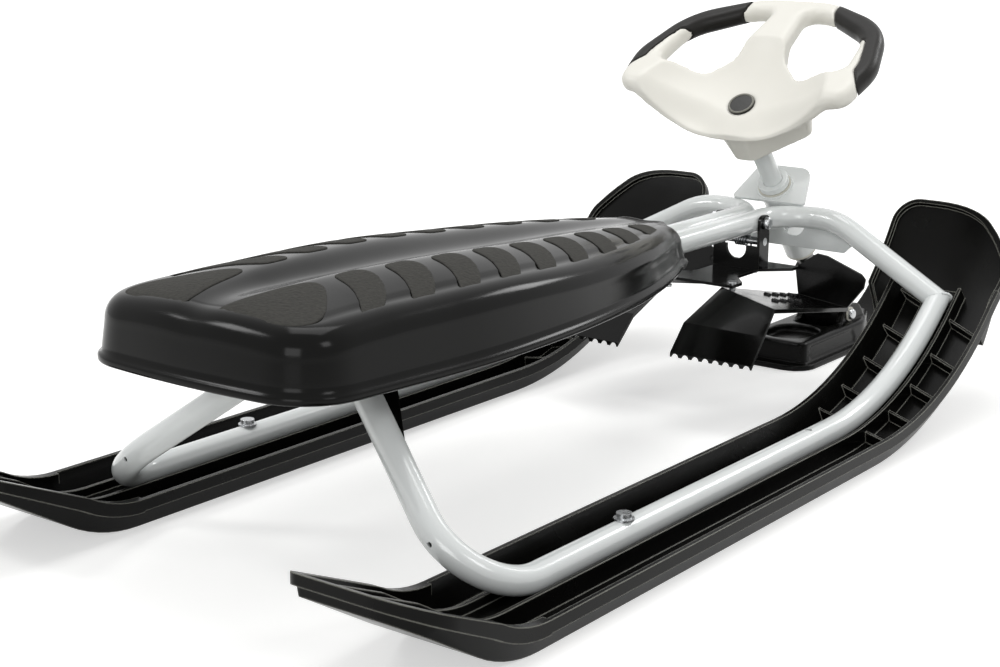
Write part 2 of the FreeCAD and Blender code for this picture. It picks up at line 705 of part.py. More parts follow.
def paddle_shape():
    """Toe paddle: a curved plate with a raised rim."""
    start = size("paddle_start")
    spread = size("paddle_end") + 10
    rim = curved_sheet(size("paddle_rim"), start, spread).common(paddle_outline(0))
    hollow = curved_sheet(2 * size("paddle_rim"), start - 5, spread)
    hollow = hollow.cut(curved_sheet(size("ski_wall"), start - 6, spread + 1))
    hollow = hollow.common(paddle_outline(size("paddle_rim_width")))
    return rim.cut(hollow)


def tail_sweep(face):
    """Curve and straight rise of a ski's tail, with the cross-section that a face gives."""
    start_y = size("ski_tail_y")
    bend = size("ski_tail_bend")
    rise = math.radians(size("ski_tail_rise"))
    curve = face.revolve(Vector(0, start_y, bend), X_AXIS, -size("ski_tail_rise"))
    last = face.copy()
    last.rotate(Vector(0, start_y, bend), X_AXIS, -size("ski_tail_rise"))
    run = (start_y - bend * math.sin(rise) - size("ski_tail_end")) / math.cos(rise) + size("ski_height")
    return curve, last.extrude(Vector(0, -math.cos(rise), math.sin(rise)) * run)


def tail_plan(inset):
    """Room above the plan of a ski's tail, drawn in from its end by an inset."""
    x_middle = size("runner_x")
    half = size("ski_top_width") / 2 - inset
    start_y = size("ski_tail_y") + 1
    end_y = size("ski_tail_end") + inset
    low = -size("ski_height")
    corners = [Vector(x_middle - half, start_y, low), Vector(x_middle - half, end_y, low),
               Vector(x_middle + half, end_y, low), Vector(x_middle + half, start_y, low)]
    radii = [0, size("ski_tail_inner") - inset, size("ski_tail_outer") - inset, 0]
    return prism([rounded_outline(corners, radii)], Vector(0, 0, 2 * size("ski_tail_bend")))


def tail_side(height):
    """Point of a ski's tail where its straight rise starts, as high as given above the sole."""
    bend = size("ski_tail_bend")
    rise = math.radians(size("ski_tail_rise"))
    reach = bend - height
    return Vector(0, size("ski_tail_y") - reach * math.sin(rise), bend - reach * math.cos(rise))


def tail_section(corners):
    """Cross-section at the start of a ski's tail from the corners of its right half."""
    outline = list(corners) + [(-x, z) for x, z in reversed(corners)]
    return polygon_face([Vector(size("runner_x") + x, size("ski_tail_y"), z) for x, z in outline])


def tail_shape(section):
    """Tail of a ski: a curve and a straight rise, with walls that get lower towards a closed end."""
    sole = size("ski_sole_width") / 2
    rim = size("ski_top_width") / 2
    step = size("ski_rim_step")
    top = size("ski_height")
    shoulder = top - size("ski_rim_height")
    end_y = size("ski_tail_end")
    knee = tail_side(0)
    sole_end = knee.z + (knee.y - end_y) * math.tan(math.radians(size("ski_tail_rise")))
    rim_end = Vector(0, end_y, sole_end + size("ski_tail_wall"))
    flange_end = rim_end - Z_AXIS * (size("ski_rim_height") * 0.8)
    reach = Vector(size("runner_x") + size("ski_top_width"), 0, 0)
    band = polygon_face([tail_side(top), rim_end, flange_end, tail_side(shoulder)]).extrude(reach)
    body = tail_section([(sole, 0), (rim - step, shoulder), (rim - step, top)])
    body_curve, body_rise = tail_sweep(body)
    flange_curve, spare_flange = tail_sweep(tail_section([(rim, shoulder), (rim, top)]))
    spare_curve, flange_rise = tail_sweep(tail_section([(rim, 0), (rim, top)]))
    flange = flange_curve.fuse(flange_rise.common(band)).common(tail_plan(0))
    filled = body_curve.fuse(body_rise).common(tail_plan(step)).fuse(flange)
    inside = tail_section([(sole, 0), (rim, shoulder), (rim, top)])
    inside_curve, inside_rise = tail_sweep(inside.cut(section))
    hollow = inside_curve.fuse(inside_rise).common(tail_plan(step + size("ski_wall")))
    high = Z_AXIS * (4 * size("ski_tail_bend"))
    above = polygon_face([tail_side(top), rim_end, rim_end + high, tail_side(top) + high]).extrude(reach)
    return filled.cut(hollow).cut(above)


def ski_shape():
    """Right ski: straight channel, curved tail and front, webs and toe paddle."""
    section = ski_section()
    straight = size("ski_front_y") - size("ski_tail_y")
    channel = section.extrude(Vector(0, -straight, 0))
    front = section.revolve(front_axis(), X_AXIS, size("ski_channel_end"))
    rear_section = section.copy()
    rear_section.translate(Vector(0, -straight, 0))
    tail = tail_shape(rear_section)
    pieces = [front, tail, paddle_shape()]
    for index in range(int(size("web_count"))):
        degrees = size("web_first") + index * size("web_step")
        pieces.append(web_shape(1, degrees))
        pieces.append(web_shape(-1, degrees))
    ski = channel.multiFuse(pieces)
    gap = size("tube_diameter") / 2 + size("runner_clearance")
    inward = (arm_corner() - elbow()).normalize()
    behind = elbow() - inward * gap
    ski = ski.cut(Part.makeCylinder(gap, (arm_corner() - elbow()).Length, behind, inward))
    along = runner_direction()
    ski = ski.cut(Part.makeCylinder(gap, 3 * gap, elbow() - along * 2 * gap, along))
    for y in (size("ski_bolt_y"), size("ski_screw_y")):
        hole = Part.makeCylinder(size("ski_bolt_diameter") / 2, runner_z(), Vector(size("runner_x"), y, 0), Z_AXIS)
        ski = ski.cut(hole)
        seat = Part.makeCylinder(size("ski_nut_width") / 2 + 1, size("ski_nut_height") + 1,
                                 Vector(size("runner_x"), y, 0), Z_AXIS)
        ski = ski.cut(seat)
    return ski.removeSplitter()


right_ski = feature("right_ski", ski_shape())
mirrored("left_ski", right_ski)


def ski_fastener(name, sign):
    """Bolt through a runner and its ski, head up, with a washer under the head."""
    tube_top = "dim.tube_over_sole + dim.tube_diameter"
    x = f"{sign} * dim.runner_x"
    washer = cylinder(name + "_washer", "dim.ski_washer", "dim.washer_thickness", x=x, y="dim.ski_bolt_y", z=tube_top)
    head = cylinder(name + "_head", "dim.ski_bolt_head", "dim.ski_bolt_head_height",
                    x=x, y="dim.ski_bolt_y", z=tube_top + " + dim.washer_thickness")
    shank = cylinder(name + "_shank", "dim.ski_bolt_diameter", tube_top + " + dim.washer_thickness - 1",
                     x=x, y="dim.ski_bolt_y", z="1")
    return fuse(name, washer, head, shank)


def ski_nut(name, sign):
    """Six-sided nut, let into the sole and threaded on its bolt."""
    nut = doc.addObject("Part::Prism", name + "_hexagon")
    nut.Polygon = 6
    bind(nut, Circumradius="dim.ski_nut_width / 2", Height="dim.ski_nut_height",
         x=f"{sign} * dim.runner_x", y="dim.ski_bolt_y", z="1")
    thread = cylinder(name + "_thread", "dim.ski_bolt_diameter", "dim.ski_nut_height",
                      x=f"{sign} * dim.runner_x", y="dim.ski_bolt_y", z="1")
    return cut(name, nut, thread)


def ski_screw(name, sign):
    """Screw from below that holds the front of a ski to its runner."""
    x = f"{sign} * dim.runner_x"
    head = cylinder(name + "_head", "dim.ski_nut_width", "dim.ski_nut_height", x=x, y="dim.ski_screw_y", z="1")
    shank = cylinder(name + "_shank", "dim.ski_bolt_diameter", "dim.tube_over_sole + dim.tube_diameter / 2",
                     x=x, y="dim.ski_screw_y", z="1")
    return fuse(name, head, shank)


SIDES = (("right", 1), ("left", -1))
group("ski_bolts", [ski_fastener(f"{side}_ski_bolt", sign) for side, sign in SIDES])
group("ski_nuts", [ski_nut(f"{side}_ski_nut", sign) for side, sign in SIDES])
group("ski_front_screws", [ski_screw(f"{side}_ski_screw", sign) for side, sign in SIDES])


# Steering head

head_tube = cut(
    "head_tube",
    cylinder("head_outside", "dim.head_diameter", "dim.head_top + dim.head_bottom", z="-dim.head_bottom"),
    cylinder("head_inside", "dim.head_bore", "dim.head_top + dim.head_bottom", z="-dim.head_bottom"),
)
keep(on_steering_axis(head_tube), "head_tube")


def head_plate_shape():
    """Plate round the top of the head tube, wider where it rests on the tubes."""
    foot = size("head_plate_foot") / 2
    crown = size("head_plate_crown") / 2
    low = -size("head_plate_low")
    high = size("head_plate_high")
    level = size("head_top") - size("plate_thickness")
    corners = [Vector(-foot, low, level), Vector(foot, low, level), Vector(crown, high, level), Vector(-crown, high, level)]
    rounding = size("head_plate_round")
    outline = rounded_outline(corners, [rounding / 4, rounding / 4, rounding, rounding])
    bore = Part.Wire(Part.makeCircle(size("head_diameter") / 2, Vector(0, 0, level)))
    return prism([outline, bore], Vector(0, 0, size("plate_thickness")))


def fitted_head_plate():
    """The head plate in place, trimmed where the tubes touch it."""
    placed = head_plate_shape()
    placed.Placement = rake_placement()
    rod = swept_rod(main_tube_path(), size("tube_diameter") / 2)
    return placed.cut(rod).cut(rod.mirror(Vector(), X_AXIS))


feature("head_plate", fitted_head_plate())


def axis_point(t):
    """Point on the steering axis, t above the middle of the head."""
    angle = math.radians(size("rake_angle"))
    return Vector(0, size("head_y") - t * math.sin(angle), size("head_z") + t * math.cos(angle))


def gusset_shape():
    """Folded sheet below the shoulders: a web with two half-round holes and two cheeks along the head tube."""
    sheet_metal = size("plate_thickness")
    top = size("backbone_z") - size("tube_diameter") / 2
    bottom = top - size("gusset_drop")
    half = size("gusset_width") / 2
    rear = size("gusset_y") - sheet_metal / 2
    slope = size("gusset_drop") / 3
    corners = [(-half, bottom + slope), (-half + slope, bottom), (half - slope, bottom), (half, bottom + slope),
               (half - slope, top), (-half + slope, top)]
    web = polygon_face([Vector(x, rear, z) for x, z in corners]).extrude(Vector(0, sheet_metal, 0))
    for side in (1, -1):
        centre = Vector(side * size("gusset_hole_x"), rear - sheet_metal, top + sheet_metal)
        web = web.cut(Part.makeCylinder(size("gusset_hole") / 2, 3 * sheet_metal, centre, Y_AXIS))
    lean = math.tan(math.radians(size("rake_angle")))
    inner = size("head_diameter") / 2
    cheek_top = bottom + size("gusset_drop") * 0.8

    def axis_y(z):
        return size("head_y") + (size("head_z") - z) * lean

    front = rear + sheet_metal
    cheek = polygon_face([Vector(inner, front, bottom), Vector(inner, axis_y(bottom), bottom),
                          Vector(inner, axis_y(cheek_top), cheek_top), Vector(inner, front, cheek_top)])
    right = cheek.extrude(Vector(sheet_metal, 0, 0))
    left = right.mirror(Vector(), X_AXIS)
    gusset = web.multiFuse([right, left]).removeSplitter()
    rod = swept_rod(main_tube_path(), size("tube_diameter") / 2)
    return gusset.cut(rod).cut(rod.mirror(Vector(), X_AXIS))


feature("head_gusset", gusset_shape())


def head_bush(label, flange_low, body_low):
    """Flanged bush for the column in one end of the head tube."""
    flange = cylinder(label + "_flange", "dim.head_diameter", "dim.bush_flange", z=flange_low)
    body = cylinder(label + "_body", "dim.head_bore", "dim.bush_length", z=body_low)
    bore = cylinder(label + "_bore", "dim.column_diameter + 2 * dim.running_clearance",
                    "3 * (dim.bush_length + dim.bush_flange)", z=f"{body_low} - dim.bush_length")
    return keep(on_steering_axis(cut(label, fuse(label + "_outside", flange, body), bore)), label)


head_bush("upper_head_bush", "dim.head_top", "dim.head_top - dim.bush_length")
head_bush("lower_head_bush", "-dim.head_bottom - dim.bush_flange", "-dim.head_bottom")

# Steering column, wheel and stem

column_foot = "-dim.head_bottom - dim.bush_flange - dim.end_play"
column = cut(
    "steering_column",
    cylinder("column_rod", "dim.column_diameter", f"dim.column_top - ({column_foot})", z=column_foot),
    cylinder("column_thread", "dim.wheel_bolt_diameter", "dim.wheel_bolt_length",
             z="dim.column_top - dim.wheel_bolt_length"),
)
keep(on_steering_axis(column), "steering_column")

collar_low = "dim.head_top + dim.bush_flange + dim.end_play"
collar = cut(
    "column_collar",
    cylinder("collar_outside", "dim.collar_diameter", "dim.collar_height", z=collar_low),
    cylinder("collar_inside", "dim.column_diameter", "dim.collar_height", z=collar_low),
)
keep(on_steering_axis(collar), "column_collar")

cone = doc.addObject("Part::Cone", "cone_outside")
bind(cone, Radius1="dim.cone_bottom / 2", Radius2="dim.cone_top / 2", Height="dim.cone_height")
cone_low = f"{column_foot} - dim.cone_height"
bind(cone, z=cone_low)
cone_holder = fuse("stem_cone", cone, cylinder("cone_core", "dim.cone_bottom / 2", "dim.cone_height", z=cone_low))
keep(on_steering_axis(cone_holder), "stem_cone")


def wheel_plane(shape):
    """Moves a shape from the wheel's own plane to its place on the steering axis."""
    shape.rotate(Vector(), X_AXIS, -size("wheel_tilt"))
    shape.translate(Vector(0, 0, size("wheel_rim_t")))
    return shape


def wheel_outline(level):
    """Outer outline of the wheel in its own plane."""
    width = size("wheel_half_width")
    top = size("wheel_height")
    drop = -size("wheel_drop")
    half = [
        (width * 0.3, drop, 60),
        (width * 0.94, drop * 0.44, 18),
        (width, top * 0.27, 60),
        (width * 0.835, top * 0.765, 75),
        (width * 0.3, top, 90),
    ]
    corners = half + [(-x, v, radius) for x, v, radius in reversed(half)]
    return rounded_outline([Vector(x, v, level) for x, v, radius in corners], [radius for x, v, radius in corners])


def hand_gap(side, level):
    """Outline of one hand gap of the wheel."""
    inner = size("hand_gap_inner")
    outer = size("hand_gap_outer")
    low = size("hand_gap_low")
    high = size("hand_gap_high")
    tall = high - low
    corners = [
        (inner, high, 9),
        (inner + 0.3 * (outer - inner), high - 1.5, 50),
        (outer - 6, high - 0.38 * tall, 40),
        (outer, low, 14),
        (inner + 0.4 * (outer - inner), low + 1, 22),
        (inner + 7, low + 0.3 * tall, 30),
    ]
    return rounded_outline([Vector(side * x, v, level) for x, v, radius in corners],
                           [radius for x, v, radius in corners])


def wheel_prism(low, high):
    """Outline of the wheel with both hand gaps, drawn out between two levels of its own plane."""
    wires = [wheel_outline(low), hand_gap(1, low), hand_gap(-1, low)]
    return prism(wires, Vector(0, 0, high - low))


def rim_shape():
    """Rim, spoke and wings of the wheel as one rounded plate in its own plane."""
    half = size("wheel_rim_thickness") / 2
    solid = wheel_prism(-half, half)
    flat = [edge for edge in solid.Edges if abs(edge.BoundBox.ZMax - edge.BoundBox.ZMin) < 1e-3]
    return solid.makeFillet(size("wheel_rim_round"), flat)


def grip_block(side, gap):
    """Region of the rim that a soft grip covers, grown by a gap, in the wheel's own plane."""
    thick = size("wheel_rim_thickness")
    reach = size("wheel_half_width") + 20
    top = size("wheel_height") + 20
    inner = size("grip_inner") - gap
    low = size("grip_low") - gap
    outer = size("hand_gap_outer") - gap
    high = size("hand_gap_high")
    corners = [(inner, top), (inner + 3, high), (inner + 12, high - 26), (outer - 16, high - 36),
               (outer, high - 44), (outer + 6, high - 62), (outer + 11, high - 82), (outer + 12, low + 28),
               (outer + 27, low), (reach, low), (reach, top)]
    face = polygon_face([Vector(side * x, v, -thick) for x, v in corners])
    return face.extrude(Vector(0, 0, 2 * thick))


def hub_shape():
    """Hub under the face of the wheel: a foot that widens forward, with a boss round the column."""
    nose = size("hub_foot_nose")
    half = size("hub_foot_width")
    low = -size("hub_low")
    high = size("hub_high")
    foot = size("hub_bottom")
    middle = size("dish_bottom") - 3
    lower = [Vector(-nose, low, foot), Vector(nose, low, foot), Vector(half, high * 0.4, foot),
             Vector(half * 0.85, high, foot), Vector(-half * 0.85, high, foot), Vector(-half, high * 0.4, foot)]
    upper = [Vector(1.15 * spot.x, 1.1 * spot.y, middle) for spot in lower]
    rounding = [size("hub_round")] * len(lower)
    block = Part.makeLoft([rounded_outline(lower, rounding), rounded_outline(upper, rounding)], True, True)
    boss_low = size("hub_boss_bottom")
    return block.fuse(Part.makeCylinder(size("hub_boss") / 2, foot - boss_low + 5, Vector(0, 0, boss_low)))


def dish_ball(wall):
    """Ball that hollows the face of the wheel, grown by a wall thickness."""
    radius = size("dish_radius")
    return Part.makeSphere(radius + wall, Vector(0, 0, size("dish_bottom") + radius))


def bowl_shape():
    """Dished middle of the wheel below the plane of the rim."""
    column = wheel_plane(wheel_prism(-size("wheel_rim_t"), 0))
    return column.common(dish_ball(size("dish_wall")))


def wheel_shape():
    """Wheel without its grips, bored for the column, its bolt and the cap."""
    rim = rim_shape()
    for side in (1, -1):
        rim = rim.cut(grip_block(side, size("grip_joint")))
    bowl = bowl_shape()
    for side in (1, -1):
        bowl = bowl.cut(wheel_plane(grip_block(side, size("grip_joint"))))
    wheel = wheel_plane(rim).fuse(bowl).fuse(hub_shape()).removeSplitter().cut(dish_ball(0))
    top = size("wheel_rim_t")
    boss_low = size("hub_boss_bottom") - 1
    column_hole = Part.makeCylinder(size("column_diameter") / 2, size("column_top") - boss_low, Vector(0, 0, boss_low))
    bolt_hole = Part.makeCylinder(size("wheel_bolt_diameter") / 2, top, Vector(0, 0, size("column_top")))
    head_low = size("column_top") + 8
    head_hole = Part.makeCylinder(size("wheel_bolt_head") / 2 + 1, top, Vector(0, 0, head_low))
    cap_low = size("dish_bottom") - size("cap_height") / 2
    cap_hole = Part.makeCylinder(size("cap_diameter") / 2, top, Vector(0, 0, cap_low))
    return wheel.cut(column_hole).cut(bolt_hole).cut(head_hole).cut(cap_hole)


feature("steering_wheel", wheel_shape(), rake_placement())
for side_name, side_sign in SIDES:
    feature(f"{side_name}_wheel_grip", wheel_plane(rim_shape().common(grip_block(side_sign, 0))), rake_placement())

cap_low = "dim.dish_bottom - dim.cap_height / 2"
cap = fuse(
    "hub_cap_piece",
    cylinder("hub_cap_disc", "dim.cap_diameter", "dim.cap_height", z=cap_low),
    cylinder("hub_cap_plug", "dim.wheel_bolt_head + 2", "dim.cap_height", z=f"{cap_low} - dim.cap_height"),
)
keep(on_steering_axis(cap), "hub_cap")
wheel_bolt = fuse(
    "wheel_bolt_piece",
    cylinder("wheel_bolt_head", "dim.wheel_bolt_head", "dim.wheel_bolt_head_height", z="dim.column_top + 8"),
    cylinder("wheel_bolt_shank", "dim.wheel_bolt_diameter", "dim.wheel_bolt_length + 8",
             z="dim.column_top - dim.wheel_bolt_length"),
)
keep(on_steering_axis(wheel_bolt), "wheel_bolt")


def stem_shape():
    """Stem from the cone down to a barrel round the ski axle."""
    foot = -size("axle_drop")
    top = -size("head_bottom") - size("bush_flange") - size("end_play") - size("cone_height")
    half_width = size("stem_width") / 2
    half_depth = size("stem_depth") / 2
    barrel = size("stem_barrel") / 2
    lower = [Vector(-half_width, -barrel * 0.9, foot), Vector(half_width, -barrel * 0.9, foot),
             Vector(half_width, barrel * 0.9, foot), Vector(-half_width, barrel * 0.9, foot)]
    upper = [Vector(-half_width * 0.8, -half_depth * 0.7, top), Vector(half_width * 0.8, -half_depth * 0.7, top),
             Vector(half_width * 0.8, half_depth * 0.7, top), Vector(-half_width * 0.8, half_depth * 0.7, top)]
    lower_wire = rounded_outline(lower, [4] * 4)
    upper_wire = rounded_outline(upper, [4] * 4)
    leg = Part.makeLoft([lower_wire, upper_wire], True, True)
    length = size("stem_barrel_length")
    round_foot = Part.makeCylinder(barrel, length, Vector(-length / 2, 0, foot), X_AXIS)
    stem = leg.fuse(round_foot).removeSplitter()
    return stem.cut(Part.makeCylinder(size("axle_diameter") / 2, 2 * length, Vector(-length, 0, foot), X_AXIS))


feature("ski_stem", stem_shape(), rake_placement())


def axle_centre():
    """Middle of the axle of the front ski."""
    return axis_point(-size("axle_drop"))


def axle_bolt_shape():
    """Axle bolt with a round head on the right."""
    half = size("cheek_width") / 2 + size("ski_bush_flange") + size("end_play")
    centre = axle_centre()
    length = 2 * half + 8
    shank = Part.makeCylinder(size("axle_diameter") / 2, length, centre - X_AXIS * (half + 8), X_AXIS)
    head = Part.makeCylinder(size("axle_head") / 2, size("axle_head_height"), centre + X_AXIS * half, X_AXIS)
    far = [edge for edge in head.Edges if edge.BoundBox.XMin > centre.x + half + 1e-3]
    head = head.makeFillet(size("axle_head_height") * 0.7, far[:1])
    return shank.fuse(head).removeSplitter()


def axle_nut_shape():
    """Six-sided lock nut on the left end of the axle bolt."""
    half = size("cheek_width") / 2 + size("ski_bush_flange") + size("end_play")
    centre = axle_centre() - X_AXIS * half
    radius = size("axle_head") / 2
    ring = [Vector(centre.x, centre.y + radius * math.cos(math.radians(60 * k)),
                   centre.z + radius * math.sin(math.radians(60 * k))) for k in range(6)]
    nut = polygon_face(ring).extrude(Vector(-6, 0, 0))
    return nut.cut(Part.makeCylinder(size("axle_diameter") / 2, 12, centre, X_AXIS * -1))


feature("axle_bolt", axle_bolt_shape())
feature("axle_nut", axle_nut_shape())


# Front ski

def bow_plan(inset, rear, corner):
    """Room above the plan of the front ski, drawn in from its sides, with a rear end and its corner radius."""
    half = size("front_ski_sole_width") / 2 - inset
    nose = size("front_ski_nose") / 2 - inset / 2
    tip = size("front_ski_tip") - inset
    bend_y = size("front_ski_bend_y")
    nose_y = size("front_ski_nose_y") - inset
    low = -size("front_ski_top")
    corners = [(half, rear, corner), (half, bend_y, 50), (nose, nose_y, 40), (nose, tip, 0.9 * nose)]
    outline = corners + [(-x, y, radius) for x, y, radius in reversed(corners)]
    wire = rounded_outline([Vector(x, y, low) for x, y, radius in outline], [radius for x, y, radius in outline])
    return prism([wire], Vector(0, 0, 6 * size("front_ski_top")))


def sole_middle(y):
    """Height of the middle of the front ski's sole."""
    bend = size("front_ski_bend")
    ahead = max(0.0, y - size("front_ski_bend_y"))
    return bend - math.sqrt(bend ** 2 - ahead ** 2) + size("front_ski_sole") / 2


def front_side_prism(corners, half):
    """Block across the front ski with a side view given as (y, z) corners."""
    return polygon_face([Vector(-half, y, z) for y, z in corners]).extrude(Vector(2 * half, 0, 0))


def front_box_shape():
    """Low box of the front ski with a shallow panel in each side."""
    rear = size("front_ski_rear")
    front = size("front_ski_box_front")
    top = size("front_ski_top")
    sole = size("front_ski_sole")
    half = size("front_ski_width") / 2
    bend_y = size("front_ski_bend_y")
    foot = [(y, sole_middle(y)) for y in (rear, bend_y, (bend_y + front) / 2, front)]
    side = foot + [(front - 16, top), (rear, top)]
    rounding = size("front_ski_round")
    box = front_side_prism(side, half).common(bow_plan(size("front_ski_sole_width") / 2 - half, rear, 2 * rounding))
    upper = [edge for edge in box.Edges if edge.BoundBox.ZMin > top - 1e-3 and edge.CenterOfMass.y < bend_y]
    box = box.makeFillet(rounding, upper)
    depth = size("front_panel_depth")
    low = sole + 2
    high = top - rounding - 1
    axle_y = axle_centre().y
    panel = [Vector(half - depth, rear + 14, low), Vector(half - depth, axle_y, low),
             Vector(half - depth, axle_y - 12, high), Vector(half - depth, rear + 14, high)]
    right = prism([rounded_outline(panel, [4] * 4)], Vector(2 * depth, 0, 0))
    return box.cut(right).cut(right.mirror(Vector(), X_AXIS))


def cheeks_shape():
    """Block over the axle that the stem pocket splits into two cheeks."""
    half = size("cheek_width") / 2
    axle = axle_centre()
    low = size("front_ski_sole") / 2
    top = size("cheek_top")
    rear = axle.y - size("cheek_rear")
    front = axle.y + size("cheek_front")
    rounding = size("cheek_round")
    corners = [Vector(-half, rear, low), Vector(-half, axle.y, low), Vector(-half, front, sole_middle(front)),
               Vector(-half, axle.y + 24, top),
               Vector(-half, axle.y - 8, top)]
    return prism([rounded_outline(corners, [0, 0, 0, 2 * rounding, rounding])], Vector(2 * half, 0, 0))


def front_ski_shape():
    """Front ski: pointed curved sole, low box and two cheeks that the stem goes down between."""
    bend_y = size("front_ski_bend_y")
    bend = size("front_ski_bend")
    half_width = size("front_ski_sole_width") / 2
    sole = size("front_ski_sole")
    section = polygon_face([Vector(-half_width, bend_y, 0), Vector(half_width, bend_y, 0),
                            Vector(half_width, bend_y, sole), Vector(-half_width, bend_y, sole)])
    reach = (size("front_ski_tip") + sole - bend_y) / (bend - sole)
    curve = section.revolve(Vector(0, bend_y, bend), X_AXIS, math.degrees(math.asin(min(1.0, reach))))
    flat = section.extrude(Vector(0, size("front_ski_rear") - 14 - bend_y, 0))
    ski = flat.fuse(curve).common(bow_plan(0, size("front_ski_rear") - 14, 26))
    ski = ski.multiFuse([front_box_shape(), cheeks_shape()]).removeSplitter()
    inner = size("cheek_width") / 2 - size("front_ski_wall")
    axle = axle_centre()
    reach = size("pocket_reach")
    pocket = [Vector(-inner, axle.y - reach, sole), Vector(inner, axle.y - reach, sole),
              Vector(inner, axle.y + reach, sole), Vector(-inner, axle.y + reach, sole)]
    ski = ski.cut(prism([rounded_outline(pocket, [6] * 4)], Vector(0, 0, 2 * size("cheek_top"))))
    top = size("front_ski_top")
    recess_half = size("recess_width") / 2
    middle = size("recess_y")
    straight = size("recess_length") / 2
    floor = top - size("recess_depth")
    oval = [Vector(-recess_half, middle - straight, floor), Vector(recess_half, middle - straight, floor),
            Vector(recess_half, middle + straight, floor), Vector(-recess_half, middle + straight, floor)]
    ski = ski.cut(prism([rounded_outline(oval, [recess_half * 0.95] * 4)], Vector(0, 0, top)))
    bush = Part.makeCylinder(size("ski_bush_diameter") / 2, 4 * half_width, axle - X_AXIS * 2 * half_width, X_AXIS)
    return ski.cut(bush)


feature("front_ski", front_ski_shape())


def front_bush_shape(side):
    """Flanged bush in a side wall of the front ski."""
    outer = size("cheek_width") / 2
    inner = outer - size("front_ski_wall")
    centre = axle_centre()
    direction = X_AXIS * side
    body = Part.makeCylinder(size("ski_bush_diameter") / 2, outer - inner, centre + direction * inner, direction)
    flange = Part.makeCylinder(size("ski_bush_diameter") / 2 + 2, size("ski_bush_flange"), centre + direction * outer,
                               direction)
    bore = Part.makeCylinder(size("axle_diameter") / 2 + size("running_clearance"), 2 * outer, centre, direction)
    return body.fuse(flange).cut(bore)


feature("front_ski_bushes", Part.makeCompound([front_bush_shape(1), front_bush_shape(-1)]))


# Seat

SEAT_STATIONS = (
    # share of the seat's length from the rear, of its width, of its height and of the valley's depth
    (0.0, 0.86, 0.79, 0.1),
    (0.017, 0.945, 0.83, 0.2),
    (0.06, 0.985, 0.91, 0.5),
    (0.146, 1.0, 1.0, 1.0),
    (0.37, 0.925, 0.94, 1.0),
    (0.56, 0.835, 0.84, 0.8),
    (0.72, 0.75, 0.745, 0.5),
    (0.852, 0.625, 0.64, 0.25),
    (0.964, 0.417, 0.48, 0.1),
    (1.0, 0.233, 0.36, 0.0),
)

SEAT_PLACES = (0, 0.009, 0.02, 0.04, 0.06, 0.1, 0.16, 0.26, 0.37, 0.52, 0.68, 0.78, 0.886, 0.93, 0.964, 0.985, 1)


def station_slopes(places, values):
    """Slopes that keep a curve through stations from swinging past them."""
    steps = [(values[k + 1] - values[k]) / (places[k + 1] - places[k]) for k in range(len(places) - 1)]
    slopes = [steps[0]]
    for before, after in zip(steps, steps[1:]):
        slopes.append(2 * before * after / (before + after) if before * after > 0 else 0)
    slopes.append(steps[-1])
    return slopes


def between_stations(places, values, place):
    """Value of the smooth curve through stations at one place."""
    slopes = station_slopes(places, values)
    for k in range(len(places) - 1):
        if place <= places[k + 1]:
            break
    run = places[k + 1] - places[k]
    share = (place - places[k]) / run
    rest = 1 - share
    start = values[k] * (1 + 2 * share) * rest ** 2 + slopes[k] * run * share * rest ** 2
    end = values[k + 1] * share ** 2 * (1 + 2 * rest) - slopes[k + 1] * run * share ** 2 * rest
    return start + end


def seat_stations():
    """Place, half width at the lip, height of the ridges and depth of the valley at each place along the seat."""
    along, widths, rises, dips = zip(*SEAT_STATIONS)
    stations = []
    for place in SEAT_PLACES:
        half = between_stations(along, widths, place) * size("seat_width") / 2
        top = size("seat_lip_z") + between_stations(along, rises, place) * size("seat_height")
        dip = between_stations(along, dips, place) * size("seat_valley")
        stations.append((size("seat_rear_y") + place * size("seat_length"), half, top, dip))
    return stations


def curve_through(spots, start_way, end_way):
    """Smooth edge through points with given end directions."""
    curve = Part.BSplineCurve()
    curve.interpolate(Points=spots, InitialTangent=start_way, FinalTangent=end_way)
    return curve.toShape()


def seat_section(y, half, top, dip, inset):
    """Cross-section of the seat at one station, drawn in by an inset: lip, side, two ridges and a valley."""
    lip = size("seat_lip_z")
    step = size("seat_lip_step")
    low = lip - 1 if inset > 0 else lip
    ledge = lip + size("seat_lip_height") - inset
    shoulder = lip + (top - lip) * size("seat_shoulder")
    side = half - step - inset
    edge = side - size("seat_draft")
    ridge_x = half * size("seat_ridge")
    ridge_z = top - inset
    quarters = (0, 0.25, 0.5, 0.75, 1)

    def edges(sign):
        inward = Vector(-sign, 0, 0)
        spots = [Vector(sign * (half - inset), y, low), Vector(sign * (half - inset), y, ledge),
                 Vector(sign * side, y, ledge + step / 2), Vector(sign * edge, y, shoulder)]
        lines = [Part.LineSegment(a, b).toShape() for a, b in zip(spots, spots[1:])]
        turns = [math.radians(90 * share) for share in quarters]
        brow = [Vector(sign * (ridge_x + (edge - ridge_x) * math.cos(turn)), y,
                       shoulder + (ridge_z - shoulder) * math.sin(turn)) for turn in turns]
        slope = [Vector(sign * ridge_x * (1 - share), y, ridge_z - dip * (1 - math.cos(math.pi * share)) / 2)
                 for share in quarters]
        return lines + [curve_through(brow, Z_AXIS, inward), curve_through(slope, inward, inward)]

    bottom = Part.LineSegment(Vector(inset - half, y, low), Vector(half - inset, y, low)).toShape()
    return Part.Wire(Part.__sortEdges__([bottom] + edges(1) + edges(-1)))


def seat_solid(inset):
    """Full solid of the seat, drawn in by an inset."""
    stations = seat_stations()
    wires = []
    for index, (y, half, top, dip) in enumerate(stations):
        shift = inset if index == 0 else -inset if index == len(stations) - 1 else 0
        wires.append(seat_section(y + shift, half, top, dip, inset))
    return Part.makeLoft(wires, True, False)


